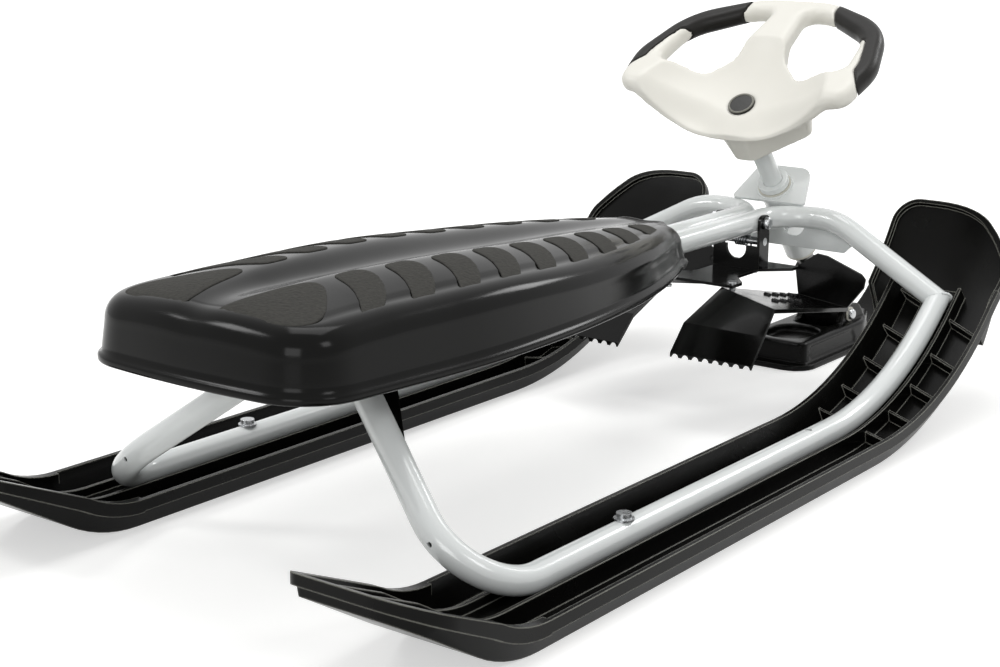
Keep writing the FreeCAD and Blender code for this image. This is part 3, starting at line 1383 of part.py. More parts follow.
def seat_boss_places():
    """Where the seat is screwed to its brackets."""
    return [Vector(sign * size("seat_boss_x"), y, 0) for side, sign in SIDES
            for y in (size("bracket_rear_y"), size("bracket_front_y"))]


def bracket_top():
    """Height of the upper face of the seat brackets."""
    return size("backbone_z") + size("tube_diameter") / 2 + size("plate_thickness")


seat_outside = seat_solid(0)


def seat_shape():
    """Seat shell, open below, with screw bosses."""
    shell = seat_outside.cut(seat_solid(size("seat_wall")))
    bosses = []
    for place in seat_boss_places():
        boss = Part.makeCylinder(size("seat_boss") / 2, size("seat_lip_z"), place + Z_AXIS * bracket_top())
        bosses.append(boss.common(seat_outside))
    shell = shell.multiFuse(bosses)
    for place in seat_boss_places():
        hole = Part.makeCylinder(size("seat_screw") / 2, size("seat_screw_length"), place + Z_AXIS * bracket_top())
        shell = shell.cut(hole)
    gap = size("tube_diameter") / 2 + size("runner_clearance")
    middle = size("seat_rear_y") + size("seat_length") / 2
    for side, sign in SIDES:
        tube_axis = Vector(sign * size("backbone_x"), middle, size("backbone_z"))
        shell = shell.cut(Part.makeCylinder(gap, size("seat_length"), tube_axis, Y_AXIS))
    half = size("backbone_x") + gap
    drop = size("backbone_z") - size("seat_lip_z") + size("seat_lip_height")
    slot = Part.makeBox(2 * half, size("seat_length"), drop, Vector(-half, middle, size("backbone_z") - drop))
    shell = shell.cut(slot)
    return max(shell.Solids, key=lambda solid: solid.Volume)


feature("seat_shell", seat_shape())


def seat_half_width(y):
    """Half width of the seat at its lip."""
    place = min(1, max(0, (y - size("seat_rear_y")) / size("seat_length")))
    along, widths, rises, dips = zip(*SEAT_STATIONS)
    return between_stations(along, widths, place) * size("seat_width") / 2


def big_pad_outline():
    """Outline of the large rear pad on the right, seen from above."""
    half = size("seat_width") / 2
    rear = size("pad_first_y")
    length = size("pad_big_length")
    shares = [(0.02, 0), (0.24, 0.97), (0.5, 1), (0.64, 0.63), (0.59, 0.18), (0.37, 0)]
    rounding = size("pad_round")
    corners = [Vector(half * x, rear + length * y, 0) for x, y in shares]
    return rounded_outline(corners, [rounding / 2, rounding, 2 * rounding, 2 * rounding, 2 * rounding, 3 * rounding])


def small_pad_outline(start):
    """Outline of a small pad on the right: a crescent with its outer end swept back."""
    half = seat_half_width(start)
    along = (start - size("seat_rear_y")) / size("seat_length")
    fade = max(0.1, min(1, (0.8 - along) / 0.25))
    inner = half * size("pad_inner")
    outer = half * size("pad_outer")
    middle = (inner + outer) / 2
    sweep = size("pad_sweep") * fade
    length = size("pad_length") * (0.75 + 0.25 * fade)
    bent = start - sweep / 2 + size("pad_bulge") * fade
    corners = [Vector(inner, start, 0), Vector(middle, bent, 0), Vector(outer, start - sweep, 0),
               Vector(outer, start - sweep + 0.8 * length, 0), Vector(middle, bent + length, 0),
               Vector(inner, start + length, 0)]
    rounding = size("pad_round")
    return rounded_outline(corners, [rounding, 5 * rounding, rounding, rounding, 5 * rounding, rounding])


def pads_shape():
    """Two columns of grip pads that follow the top of the seat."""
    layer = seat_solid(-size("pad_proud")).cut(seat_outside)
    outlines = [big_pad_outline()]
    for index in range(int(size("pad_count"))):
        outlines.append(small_pad_outline(size("pad_small_y") + index * size("pad_pitch")))
    pads = []
    for outline in outlines:
        right = prism([outline], Vector(0, 0, 2 * size("seat_lip_z")))
        for block in (right, right.mirror(Vector(), X_AXIS)):
            upper = layer.common(block)
            pads.extend(solid for solid in upper.Solids if solid.BoundBox.ZMax > bracket_top())
    return Part.makeCompound(pads)


feature("seat_grip_pads", pads_shape())


def bracket(label, y):
    """Flat bracket across the backbone that carries the seat."""
    half_x = "bracket_length / 2"
    half_y = "bracket_width / 2"
    corners = [(f"-1 * {half_x}", f"-1 * {half_y}"), (half_x, f"-1 * {half_y}"), (half_x, half_y),
               (f"-1 * {half_x}", half_y)]
    holes = [("seat_boss_x", "0", "seat_screw"), ("-1 * seat_boss_x", "0", "seat_screw")]
    body = plate(label + "_body", corners, holes, "plate_thickness", y=f"dim.{y}",
                 z="dim.backbone_z + dim.tube_diameter / 2")
    return keep(body, label)


bracket("seat_front_bracket", "bracket_front_y")
bracket("seat_rear_bracket", "bracket_rear_y")


def seat_screws_shape():
    """Screws from below through the brackets into the seat."""
    screws = []
    for place in seat_boss_places():
        low = bracket_top() - size("plate_thickness")
        shank = Part.makeCylinder(size("seat_screw") / 2, size("plate_thickness") + size("seat_screw_length"),
                                  place + Z_AXIS * low)
        head = Part.makeCylinder(size("seat_screw_head") / 2, size("seat_screw_head_height"),
                                 place + Z_AXIS * (low - size("seat_screw_head_height")))
        screws.append(shank.fuse(head).removeSplitter())
    return Part.makeCompound(screws)


feature("seat_screws", seat_screws_shape())


def leg_gusset_shape():
    """Three-cornered rib between the front of a leg and the underside of the seat."""
    top, foot = leg_corners()
    along = (top - foot).normalize()
    outward = (Y_AXIS - along * Y_AXIS.dot(along)).normalize()
    normal = along.cross(Y_AXIS).normalize()
    thickness = size("leg_gusset_thickness")
    gap = math.hypot(size("tube_diameter") / 2, thickness / 2) + size("runner_clearance")

    def beside_leg(z):
        return foot + along * ((z - foot.z) / along.z) + outward * gap

    ceiling = size("seat_lip_z")
    tip = beside_leg(size("leg_gusset_low"))
    upper = beside_leg(ceiling)
    corners = [tip, upper, upper + Y_AXIS * size("leg_gusset_width")]
    shifted = [corner - normal * (thickness / 2) for corner in corners]
    rib = polygon_face(shifted).extrude(normal * thickness)
    return rib.cut(swept_rod(leg_path(), size("tube_diameter") / 2 + size("runner_clearance")))


right_leg_gusset = feature("right_leg_gusset", leg_gusset_shape())
mirrored("left_leg_gusset", right_leg_gusset)


# Brake

def hanger_inner():
    """Inner face of an arm of the brake hanger, from the middle of the sled."""
    return size("backbone_x") + size("tube_diameter") / 2 + size("hanger_gap")


def pivot_shape():
    """Pivot bolt through both backbone tubes, head on the right."""
    half = hanger_inner() + size("plate_thickness") + size("end_play")
    centre = Vector(0, size("brake_y"), size("backbone_z"))
    shank = Part.makeCylinder(size("pivot_diameter") / 2, 2 * half + 8, centre - X_AXIS * (half + 8), X_AXIS)
    head = Part.makeCylinder(size("pivot_head") / 2, size("pivot_head_height"), centre + X_AXIS * half, X_AXIS)
    far = [edge for edge in head.Edges if edge.BoundBox.XMin > half + 1e-3]
    head = head.makeFillet(size("pivot_head_height") * 0.6, far[:1])
    return shank.fuse(head).removeSplitter()


def pivot_nut_shape():
    """Six-sided lock nut of the pivot bolt."""
    half = hanger_inner() + size("plate_thickness") + size("end_play")
    centre = Vector(-half, size("brake_y"), size("backbone_z"))
    radius = size("pivot_head") / 2
    ring = [Vector(centre.x, centre.y + radius * math.cos(math.radians(60 * k)),
                   centre.z + radius * math.sin(math.radians(60 * k))) for k in range(6)]
    nut = polygon_face(ring).extrude(Vector(-6, 0, 0))
    return nut.cut(Part.makeCylinder(size("pivot_diameter") / 2, 12, centre, X_AXIS * -1))


feature("brake_pivot_bolt", pivot_shape())
feature("brake_pivot_nut", pivot_nut_shape())


def spring_centre():
    """Middle of the pin that carries the brake spring."""
    return Vector(0, size("brake_y"), size("backbone_z") - size("spring_drop"))


def hanger_shape():
    """Folded hanger: two arms beside the tubes and a notched web below them."""
    sheet_metal = size("plate_thickness")
    inner = hanger_inner()
    front = size("brake_y") + size("hanger_round")
    rear = front - size("hanger_width")
    top = size("backbone_z") + size("hanger_round")
    low = size("bridge_z")
    corners = [Vector(inner, rear, low), Vector(inner, front, low), Vector(inner, front, top), Vector(inner, rear, top)]
    rounding = size("hanger_round") * 0.9
    right = prism([rounded_outline(corners, [0, 0, rounding, rounding])], Vector(sheet_metal, 0, 0))
    left = right.mirror(Vector(), X_AXIS)
    outer = inner + sheet_metal
    web_top = size("hanger_web_top")
    web = Part.makeBox(2 * outer, sheet_metal, web_top - low, Vector(-outer, rear, low))
    notch_half = size("notch_width") / 2
    notch_low = size("notch_bottom") + notch_half
    notch = Part.makeBox(2 * notch_half, 3 * sheet_metal, web_top, Vector(-notch_half, rear - sheet_metal, notch_low))
    round_end = Part.makeCylinder(notch_half, 3 * sheet_metal, Vector(0, rear - sheet_metal, notch_low), Y_AXIS)
    foot = Part.makeBox(2 * outer, size("hanger_width"), sheet_metal, Vector(-outer, rear, low))
    hanger = right.multiFuse([left, web.cut(notch).cut(round_end), foot]).removeSplitter()
    bore = size("pivot_diameter") / 2 + size("running_clearance")
    pivot = Vector(-2 * outer, size("brake_y"), size("backbone_z"))
    hanger = hanger.cut(Part.makeCylinder(bore, 4 * outer, pivot, X_AXIS))
    pin = spring_centre() - X_AXIS * 2 * outer
    hanger = hanger.cut(Part.makeCylinder(size("spring_pin") / 2, 4 * outer, pin, X_AXIS))
    for place in hanger_rivet_places():
        hanger = hanger.cut(Part.makeCylinder(size("rivet_diameter") / 2, size("backbone_z"), place))
    return hanger


def hanger_rivet_places():
    """Rivets between the hanger and the bridge plate, seen from above."""
    middle = size("brake_y") + size("hanger_round") - size("hanger_width") / 2
    offset = hanger_inner() * 0.62
    return [Vector(sign * offset, middle, 0) for side, sign in SIDES]


def plate_rivet_places():
    """Rivets between the bridge plate and the brake plates, seen from above."""
    y = size("bridge_rear") + size("bridge_arm") / 3
    x = (size("foot_inner") + size("bridge_rear_width") / 2) / 2 + 1
    return [Vector(sign * x, y, 0) for side, sign in SIDES]


feature("brake_hanger", hanger_shape())
spring_pin = cylinder("brake_spring_pin", "dim.spring_pin", f"2 * ({hanger_inner()} + dim.plate_thickness)", X_AXIS,
                      x=f"-({hanger_inner()} + dim.plate_thickness)", y="dim.brake_y",
                      z="dim.backbone_z - dim.spring_drop")
keep(spring_pin, "brake_spring_pin")


def foot_corners():
    """Rear inner, rear outer, front outer and front inner corner of the right foot rest, on its upper face."""
    level = size("bridge_z") - size("plate_thickness")
    inner_rear = Vector(size("foot_inner"), size("bridge_rear"), level)
    outer_rear = Vector(size("foot_outer"), size("bridge_rear") - size("foot_skew"), level)
    run = size("foot_front") - size("bridge_rear")
    inner_front = Vector(size("foot_front_inner"), size("foot_front"), level - size("foot_drop") * 0.85)
    across = outer_rear - inner_rear
    ahead = inner_front - inner_rear
    outer_x = size("foot_front_outer")
    # the fourth corner lies in the plane of the other three
    matrix = across.x * ahead.y - across.y * ahead.x
    a = ((outer_x - inner_rear.x) * ahead.y - run * ahead.x) / matrix
    b = (across.x * run - across.y * (outer_x - inner_rear.x)) / matrix
    outer_front = inner_rear + across * a + ahead * b
    return inner_rear, outer_rear, outer_front, inner_front


def foot_height(x, y):
    """Height of the upper face of the foot rest."""
    inner_rear, outer_rear, outer_front, inner_front = foot_corners()
    normal = (outer_rear - inner_rear).cross(inner_front - inner_rear)
    return inner_rear.z - (normal.x * (x - inner_rear.x) + normal.y * (y - inner_rear.y)) / normal.z


def toe_wall_shape():
    """Leaning toe wall at the front of the right foot rest."""
    inner_rear, outer_rear, outer_front, inner_front = foot_corners()
    lean = 0.12
    height = size("toe_height")
    side = size("toe_outer_height")
    reach = size("toe_outer")
    level = outer_front.z
    corners = [
        (inner_front.x, inner_front.z),
        (outer_front.x, level),
        (reach - 1, level + 0.6 * side),
        (reach, level + 0.86 * side),
        (reach - 5, level + side),
        (inner_front.x + 27, inner_front.z + height - 1),
        (inner_front.x + 16, inner_front.z + height),
        (inner_front.x - 6, inner_front.z + 0.62 * height),
    ]
    base_y = inner_front.y - inner_front.z * lean
    wall = polygon_face([Vector(x, base_y + z * lean, z) for x, z in corners])
    return wall.extrude(Vector(0, -size("plate_thickness"), 0))


def claw_lines():
    """Knee and tooth line of the right claw, each from its inner to its outer end."""
    outer_rear = foot_corners()[1]
    knee_z = size("claw_knee_z")
    outer = size("foot_outer") - 1
    tip_y = size("claw_tip_y")
    share = (outer_rear.z - knee_z) / (outer_rear.z - size("claw_tip_z"))
    knee = (Vector(size("claw_inner"), size("claw_knee_y"), knee_z),
            Vector(outer, outer_rear.y + (tip_y - outer_rear.y) * share + 2, knee_z))
    tip = (Vector(size("claw_inner") + 1, tip_y, size("claw_tip_z")), Vector(outer - 1, tip_y + 3, size("claw_tip_z")))
    return knee, tip


def stud_places():
    """Middles of the raised rings on the right foot rest, on its upper face."""
    places = []
    for x, rear in ((size("stud_outer_x"), size("stud_outer_y")), (size("stud_inner_x"), size("stud_inner_y"))):
        for index in range(int(size("stud_count"))):
            y = rear + index * size("stud_pitch")
            places.append(Vector(x, y, foot_height(x, y)))
    return places


def foot_normal():
    """Normal of the upper face of the right foot rest."""
    corners = foot_corners()
    return (corners[1] - corners[0]).cross(corners[3] - corners[0]).normalize()


def brake_plate_shape():
    """Right brake plate: foot rest, toe wall and toothed claw, pressed from one sheet."""
    inner_rear, outer_rear, outer_front, inner_front = foot_corners()
    thick = size("brake_sheet")
    down = Vector(0, 0, -thick)
    rest = polygon_face([inner_rear, outer_rear, outer_front, inner_front]).extrude(down)
    knee, tip = claw_lines()
    lines = [Part.makeLine(inner_rear, outer_rear), Part.makeLine(*knee), Part.makeLine(*tip)]
    upper = Part.makeRuledSurface(lines[0], lines[1]).extrude(down)
    lower = Part.makeRuledSurface(lines[1], lines[2]).extrude(down)
    solid = rest.multiFuse([toe_wall_shape(), upper, lower]).removeSplitter()
    count = int(size("tooth_count"))
    tooth = (tip[1] - tip[0]) * (1 / count)
    deep = 3 * thick + size("tooth_depth")
    for index in range(count):
        middle = tip[0] + tooth * (index + 0.5)
        gap = Part.makeCylinder(tooth.Length * 0.33, 2 * deep, middle - Y_AXIS * deep - Z_AXIS * thick, Y_AXIS)
        solid = solid.cut(gap)
    for place in plate_rivet_places()[:1]:
        solid = solid.cut(Part.makeCylinder(size("rivet_diameter") / 2, size("backbone_z"), place))
    normal = foot_normal()
    for place in stud_places():
        solid = solid.cut(Part.makeCylinder(size("stud_bore") / 2, 4 * thick, place - normal * 2 * thick, normal))
    return solid


right_brake_plate = feature("right_brake_plate", brake_plate_shape())
mirrored("left_brake_plate", right_brake_plate)


def bridge_shape():
    """Bridge plate under the hanger, with arms to both brake plates."""
    level = size("bridge_z") - size("plate_thickness")
    rear = size("bridge_rear")
    front = size("bridge_front") - size("plate_thickness")
    arm = size("bridge_arm")
    waist = size("bridge_waist") / 2
    rear_half = size("bridge_rear_width") / 2
    front_half = size("bridge_front_width") / 2
    half = [(rear_half, rear), (rear_half, rear + arm * 0.7), (waist, rear + 1.6 * arm), (waist, front - 1.4 * arm),
            (front_half, front - arm * 0.5), (front_half, front)]
    outline = half + [(-x, y) for x, y in reversed(half)]
    bridge = polygon_face([Vector(x, y, level) for x, y in outline]).extrude(Vector(0, 0, size("plate_thickness")))
    for place in hanger_rivet_places() + plate_rivet_places():
        bridge = bridge.cut(Part.makeCylinder(size("rivet_diameter") / 2, size("backbone_z"), place))
    return bridge


feature("brake_bridge", bridge_shape())


def rivet(place, low, high):
    """Rivet with a head on each end."""
    height = size("rivet_head_height")
    shank = Part.makeCylinder(size("rivet_diameter") / 2, high - low, place + Z_AXIS * low)
    upper = Part.makeCylinder(size("rivet_head") / 2, height, place + Z_AXIS * high)
    lower = Part.makeCylinder(size("rivet_head") / 2, height, place + Z_AXIS * (low - height))
    return shank.multiFuse([upper, lower]).removeSplitter()


def rivets_shape():
    """All rivets of the brake."""
    sheet_metal = size("plate_thickness")
    top = size("bridge_z")
    rivets = [rivet(place, top - sheet_metal, top + sheet_metal) for place in hanger_rivet_places()]
    for place in plate_rivet_places():
        reach = size("rivet_head") / 2
        rim = [(abs(place.x) + a, place.y + b) for a in (-reach, reach) for b in (-reach, reach)]
        low = min(foot_height(x, y) for x, y in rim) - size("brake_sheet")
        rivets.append(rivet(place, low, top))
    return Part.makeCompound(rivets)


feature("brake_rivets", rivets_shape())


def studs_shape():
    """Raised rings round the holes in both foot rests."""
    studs = []
    normal = foot_normal()
    outside = size("stud_diameter") / 2
    height = size("stud_height")
    for place in stud_places():
        cone = Part.makeCone(outside, outside * 0.8, height, place, normal)
        ring = cone.cut(Part.makeCylinder(size("stud_bore") / 2, 3 * height, place - normal * height, normal))
        studs.append(ring)
        studs.append(ring.mirror(Vector(), X_AXIS))
    return Part.makeCompound(studs)


feature("brake_studs", studs_shape())


def biarc(start, start_way, end, end_way):
    """Two arcs that join two points with given directions."""
    gap = end - start
    ways = start_way + end_way
    spread = 2 * (1 - start_way.dot(end_way))
    reach = (-gap.dot(ways) + math.sqrt(gap.dot(ways) ** 2 + spread * gap.dot(gap))) / spread
    first = start + start_way * reach
    second = end - end_way * reach
    joint = (first + second) * 0.5
    return [Part.Arc(start, arc_middle(start, first, joint), joint).toShape(),
            Part.Arc(joint, arc_middle(joint, second, end), end).toShape()]


def spring_point(turn):
    """Point and direction of the spring's helix after a number of turns, its axis along X."""
    radius = size("spring_coil") / 2
    pitch = size("spring_pitch")
    angle = 2 * math.pi * turn
    x = (turn - size("spring_turns") / 2) * pitch
    spot = spring_centre() + Vector(x, radius * math.sin(angle), radius * math.cos(angle))
    way = Vector(pitch, 2 * math.pi * radius * math.cos(angle), -2 * math.pi * radius * math.sin(angle)).normalize()
    return spot, way


def spring_shape():
    """Return spring of the brake: a wound wire with one leg under the tubes and one on the web."""
    turns = size("spring_turns") + 0.25
    quarters = int(round(turns * 4))
    spots = [spring_point(index * turns / quarters) for index in range(quarters + 1)]
    leg = size("spring_leg")
    first, first_way = spots[0]
    last, last_way = spots[-1]
    edges = [Part.LineSegment(first - first_way * leg, first).toShape()]
    for (start, start_way), (end, end_way) in zip(spots, spots[1:]):
        edges.extend(biarc(start, start_way, end, end_way))
    edges.append(Part.LineSegment(last, last + last_way * leg * 0.6).toShape())
    return edges


spring_edges = spring_shape()
feature("brake_spring", swept_rod(spring_edges, size("spring_wire") / 2))


def least_self_gap(edges, wire):
    """Least gap between windings, measured on points along the middle line."""
    spots = []
    for edge in edges:
        spots.extend(edge.discretize(9)[:-1])
    lengths = [0.0]
    for before, after in zip(spots, spots[1:]):
        lengths.append(lengths[-1] + (after - before).Length)
    apart = math.pi * size("spring_coil") / 2
    gaps = [(spots[i] - spots[j]).Length - wire for i in range(len(spots)) for j in range(i)
            if lengths[i] - lengths[j] > apart]
    return min(gaps)


doc.recompute()
print("brake spring, least gap to itself:", round(least_self_gap(spring_edges, size("spring_wire")), 3), "mm")

for item in doc.Objects:
    if "Invalid" in item.State or "Error" in item.State:
        raise RuntimeError(f"{item.Label} failed to build: {item.State}")
for piece in nodes:
    if piece.Shape.isNull() or not piece.Shape.isValid():
        raise RuntimeError(f"{piece.Label} has no valid shape")
    if not piece.Shape.Solids:
        raise RuntimeError(f"{piece.Label} holds no solid")

os.makedirs("parts", exist_ok=True)
for piece in nodes:
    piece.Shape.exportStep(f"parts/{piece.Label}.step")
print(len(nodes), "pieces written")
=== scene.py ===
"""Looks of the steering sled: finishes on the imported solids, reshaped and added pieces, studio, camera."""

import logging
import math
from collections.abc import Callable
from dataclasses import dataclass
from enum import Enum

import bmesh
import bpy
from mathutils import Matrix, Vector


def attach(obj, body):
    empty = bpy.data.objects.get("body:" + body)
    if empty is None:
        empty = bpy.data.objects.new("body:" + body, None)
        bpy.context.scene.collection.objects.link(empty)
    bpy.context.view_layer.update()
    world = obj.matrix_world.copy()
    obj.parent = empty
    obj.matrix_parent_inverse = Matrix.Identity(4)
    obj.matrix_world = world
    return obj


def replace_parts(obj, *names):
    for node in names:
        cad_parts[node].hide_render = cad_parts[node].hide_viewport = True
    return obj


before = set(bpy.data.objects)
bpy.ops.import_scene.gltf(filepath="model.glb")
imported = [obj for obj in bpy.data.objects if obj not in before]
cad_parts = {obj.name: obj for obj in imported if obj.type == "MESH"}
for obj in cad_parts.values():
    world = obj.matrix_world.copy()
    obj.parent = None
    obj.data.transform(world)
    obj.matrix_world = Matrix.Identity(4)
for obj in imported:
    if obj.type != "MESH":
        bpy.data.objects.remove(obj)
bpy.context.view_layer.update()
LOG = logging.getLogger("steering_sled")
MM = 0.001
MERGE_DISTANCE = 1e-6
SHARP_ANGLE = 30.0
WHITE = (1.0, 1.0, 1.0, 1.0)
RIGHTWARD = Vector((1, 0, 0))
# The steering axis: its rake in degrees, a point on it in metres, its way up, and ahead across it.
STEERING_RAKE = 40.0
STEERING_HEAD = Vector((0, 0.323, 0.166))
STEERING_AXIS = Vector((0, -0.642788, 0.766044))
STEERING_AHEAD = Vector((0, 0.766044, 0.642788))


def linear(hex_colour: str) -> tuple[float, float, float, float]:
    """Turns an sRGB hex value into a linear colour.

    Args:
        hex_colour: six hex digits after a hash sign.

    Returns:
        Red, green, blue and an alpha of 1.
    """
    parts = [int(hex_colour[i:i + 2], 16) / 255 for i in (1, 3, 5)]
    light = [p / 12.92 if p <= 0.04045 else ((p + 0.055) / 1.055) ** 2.4 for p in parts]
    return (*light, 1.0)


def limited(share: float) -> float:
    """Keeps a share between 0 and 1."""
    return min(1.0, max(0.0, share))


def eased(share: float) -> float:
    """Keeps a share between 0 and 1 and eases it at both ends."""
    share = limited(share)
    return share * share * (3 - 2 * share)


def add_node(tree: bpy.types.NodeTree, kind: str, inputs: dict | None = None, **settings) -> bpy.types.Node:
    """Adds one node with its settings and links.

    Args:
        tree: the node tree.
        kind: the node's type name.
        inputs: socket name or number to a constant, or to the output socket that feeds it.
        settings: attributes of the node.

    Returns:
        The new node.
    """
    node = tree.nodes.new(kind)
    for name, value in settings.items():
        setattr(node, name, value)
    for key, value in (inputs or {}).items():
        if isinstance(value, bpy.types.NodeSocket):
            tree.links.new(value, node.inputs[key])
        else:
            node.inputs[key].default_value = value
    return node


class Grain(Enum):
    """How the fine surface of a finish was left by its making."""

    ORANGE_PEEL = "flowed paint"
    SPARK_ERODED = "fine even grain of a textured mould"
    FLOW = "long streaks along the piece"
    TURNED = "rings round an axis"
    SPANGLE = "small flat crystals"


@dataclass(frozen=True)
class Finish:
    """One real material with the surface that its making leaves.

    Sizes are in millimetres. Edge is the radius at which sharp edges catch the light. Within that radius the
    edge colour is mixed in up to the edge share: a painted highlight, which on some finishes also stands for
    wear.
    """

    name: str
    slot: str
    colour: str
    shade: str
    mottle: float
    rough: float
    grain_size: float
    edge: float
    edge_wear_and_highlight_colour: str
    rough_spread: float = 0.05
    grain: Grain = Grain.ORANGE_PEEL
    grain_depth: float = 0.02
    edge_wear_and_highlight_share: float = 0.5
    metallic: float = 0.0
    ior: float = 1.5
    specular: float = 0.5
    coat: float = 0.0

    def height(self, tree: bpy.types.NodeTree, place: bpy.types.NodeSocket) -> bpy.types.NodeSocket:
        """Builds the fine surface pattern.

        Args:
            tree: the material's node tree.
            place: coordinates in metres.

        Returns:
            The socket of the pattern's height from 0 to 1.
        """
        scale = 1 / (self.grain_size * MM)
        if self.grain is Grain.SPARK_ERODED:
            cells = add_node(tree, "ShaderNodeTexVoronoi", {"Vector": place, "Scale": scale},
                             feature="SMOOTH_F1")
            return cells.outputs["Distance"]
        if self.grain is Grain.SPANGLE:
            cells = add_node(tree, "ShaderNodeTexVoronoi", {"Vector": place, "Scale": scale})
            return add_node(tree, "ShaderNodeRGBToBW", {"Color": cells.outputs["Color"]}).outputs[0]
        if self.grain is Grain.FLOW:
            drawn = add_node(tree, "ShaderNodeMapping", {"Vector": place, "Scale": (1.0, 0.04, 1.0)})
            streaks = add_node(tree, "ShaderNodeTexNoise",
                               {"Vector": drawn.outputs[0], "Scale": scale, "Detail": 3.0, "Roughness": 0.6})
            return streaks.outputs["Fac"]
        if self.grain is Grain.TURNED:
            raked = add_node(tree, "ShaderNodeMapping",
                             {"Vector": place, "Rotation": (math.radians(-STEERING_RAKE), 0, 0)})
            rings = add_node(tree, "ShaderNodeTexWave", {"Vector": raked.outputs[0], "Scale": scale / 20,
                                                         "Distortion": 0.4}, bands_direction="Z")
            return rings.outputs["Fac"]
        peel = add_node(tree, "ShaderNodeTexNoise", {"Vector": place, "Scale": scale, "Detail": 2.0})
        return peel.outputs["Fac"]

    def material(self) -> bpy.types.Material:
        """Builds the node material of the finish.

        Returns:
            The material.
        """
        made = bpy.data.materials.new(self.name)
        made.use_nodes = True
        tree = made.node_tree
        tree.nodes.clear()
        place = add_node(tree, "ShaderNodeTexCoord").outputs["Object"]
        cloud = add_node(tree, "ShaderNodeTexNoise",
                         {"Vector": place, "Scale": 1 / (self.mottle * MM), "Detail": 5.0, "Roughness": 0.55})
        tone = add_node(tree, "ShaderNodeMix", {0: cloud.outputs["Fac"], 6: linear(self.colour),
                                                7: linear(self.shade)}, data_type="RGBA")
        soft = add_node(tree, "ShaderNodeBevel", {"Radius": self.edge * MM}, samples=4)
        face = add_node(tree, "ShaderNodeNewGeometry")
        turn = add_node(tree, "ShaderNodeVectorMath", {0: soft.outputs[0], 1: face.outputs["Normal"]},
                        operation="DOT_PRODUCT")
        # Painted highlight, partly wear: edges are mixed towards the edge colour where the rounded normal turns
        # away from the face.
        wear_and_highlight_mask = add_node(tree, "ShaderNodeMapRange",
                          {"Value": turn.outputs["Value"], "From Min": 0.97, "From Max": 0.75, "To Min": 0.0,
                           "To Max": self.edge_wear_and_highlight_share})
        wear_and_highlight_tone = add_node(tree, "ShaderNodeMix", {0: wear_and_highlight_mask.outputs[0], 6: tone.outputs[2],
                                                7: linear(self.edge_wear_and_highlight_colour)}, data_type="RGBA")
        dull = add_node(tree, "ShaderNodeMapRange",
                        {"Value": cloud.outputs["Fac"], "From Min": 0.3, "From Max": 0.7,
                         "To Min": self.rough - self.rough_spread, "To Max": self.rough + self.rough_spread})
        relief = add_node(tree, "ShaderNodeBump",
                          {"Height": self.height(tree, place), "Strength": 1.0,
                           "Distance": self.grain_depth * MM, "Normal": soft.outputs[0]})
        shader = add_node(tree, "ShaderNodeBsdfPrincipled",
                          {"Base Color": wear_and_highlight_tone.outputs[2], "Roughness": dull.outputs[0],
                           "Metallic": self.metallic, "IOR": self.ior, "Specular IOR Level": self.specular,
                           "Coat Weight": self.coat, "Coat Roughness": 0.08, "Normal": relief.outputs[0]})
        add_node(tree, "ShaderNodeOutputMaterial", {"Surface": shader.outputs[0]})
        return made


# Each finish below paints a highlight along its edges in its edge colour.
# Polyester powder coat, sprayed and baked on steel: a deep gloss with a faint orange peel.
WHITE_POWDER_COAT = Finish(
    "white_powder_coat_on_steel", "white_paint", "#E6E9E8", "#DCE0DF", mottle=60, rough=0.2, grain_size=3,
    edge=0.8, edge_wear_and_highlight_colour="#F0F2F1", coat=0.5)
# Injection-moulded polyethylene: waxy, a little streaky along the flow, with a pale painted highlight along the
# edges.
BLACK_POLYETHYLENE = Finish(
    "black_moulded_polyethylene", "ski_plastic", "#070706", "#0B0B0A", mottle=45, rough=0.24,
    grain=Grain.FLOW, grain_size=1.2, grain_depth=0.015, edge=1.8, edge_wear_and_highlight_colour="#B0B0A6", edge_wear_and_highlight_share=0.9,
    specular=0.1)
# Polished polypropylene shell: a clear gloss with slow waves from the mould.
GLOSS_POLYPROPYLENE = Finish(
    "gloss_black_polypropylene", "seat_plastic", "#060605", "#0A0A09", mottle=70, rough=0.15,
    rough_spread=0.04, grain_size=25, grain_depth=0.04, edge=1.2, edge_wear_and_highlight_colour="#3A3936", specular=0.12)
# Thermoplastic rubber from a spark-eroded mould: dead matt, the grain drawn coarse enough to show.
GRIP_PAD_RUBBER = Finish(
    "grained_pad_rubber", "pad_rubber", "#171716", "#4C4B47", mottle=2.6, rough=0.8, rough_spread=0.06,
    grain=Grain.SPARK_ERODED, grain_size=2.4, grain_depth=0.5, edge=0.5, edge_wear_and_highlight_colour="#4A4945",
    edge_wear_and_highlight_share=0.4, specular=0.15)
# ABS from a lightly textured mould: warm white, satin.
WARM_WHITE_ABS = Finish(
    "warm_white_satin_abs", "wheel_plastic", "#E9E7DF", "#E2E0D7", mottle=50, rough=0.4,
    grain=Grain.SPARK_ERODED, grain_size=1.0, grain_depth=0.012, edge=1.5, edge_wear_and_highlight_colour="#F0EEE6",
    edge_wear_and_highlight_share=0.3)
# Over-moulded soft rubber: black, satin where hands polish it.
SOFT_GRIP_RUBBER = Finish(
    "soft_black_grip_rubber", "grip_rubber", "#0E0D0B", "#161411", mottle=25, rough=0.4,
    rough_spread=0.08, grain=Grain.SPARK_ERODED, grain_size=1.0, edge=1.2, edge_wear_and_highlight_colour="#2B2926",
    edge_wear_and_highlight_share=0.3, specular=0.22)
# Dark ABS disc with a clear gloss.
DARK_CAP_ABS = Finish(
    "dark_gloss_abs", "cap_plastic", "#141411", "#1C1C18", mottle=10, rough=0.22, grain_size=4, edge=0.4,
    edge_wear_and_highlight_colour="#4A4A44", specular=0.4)
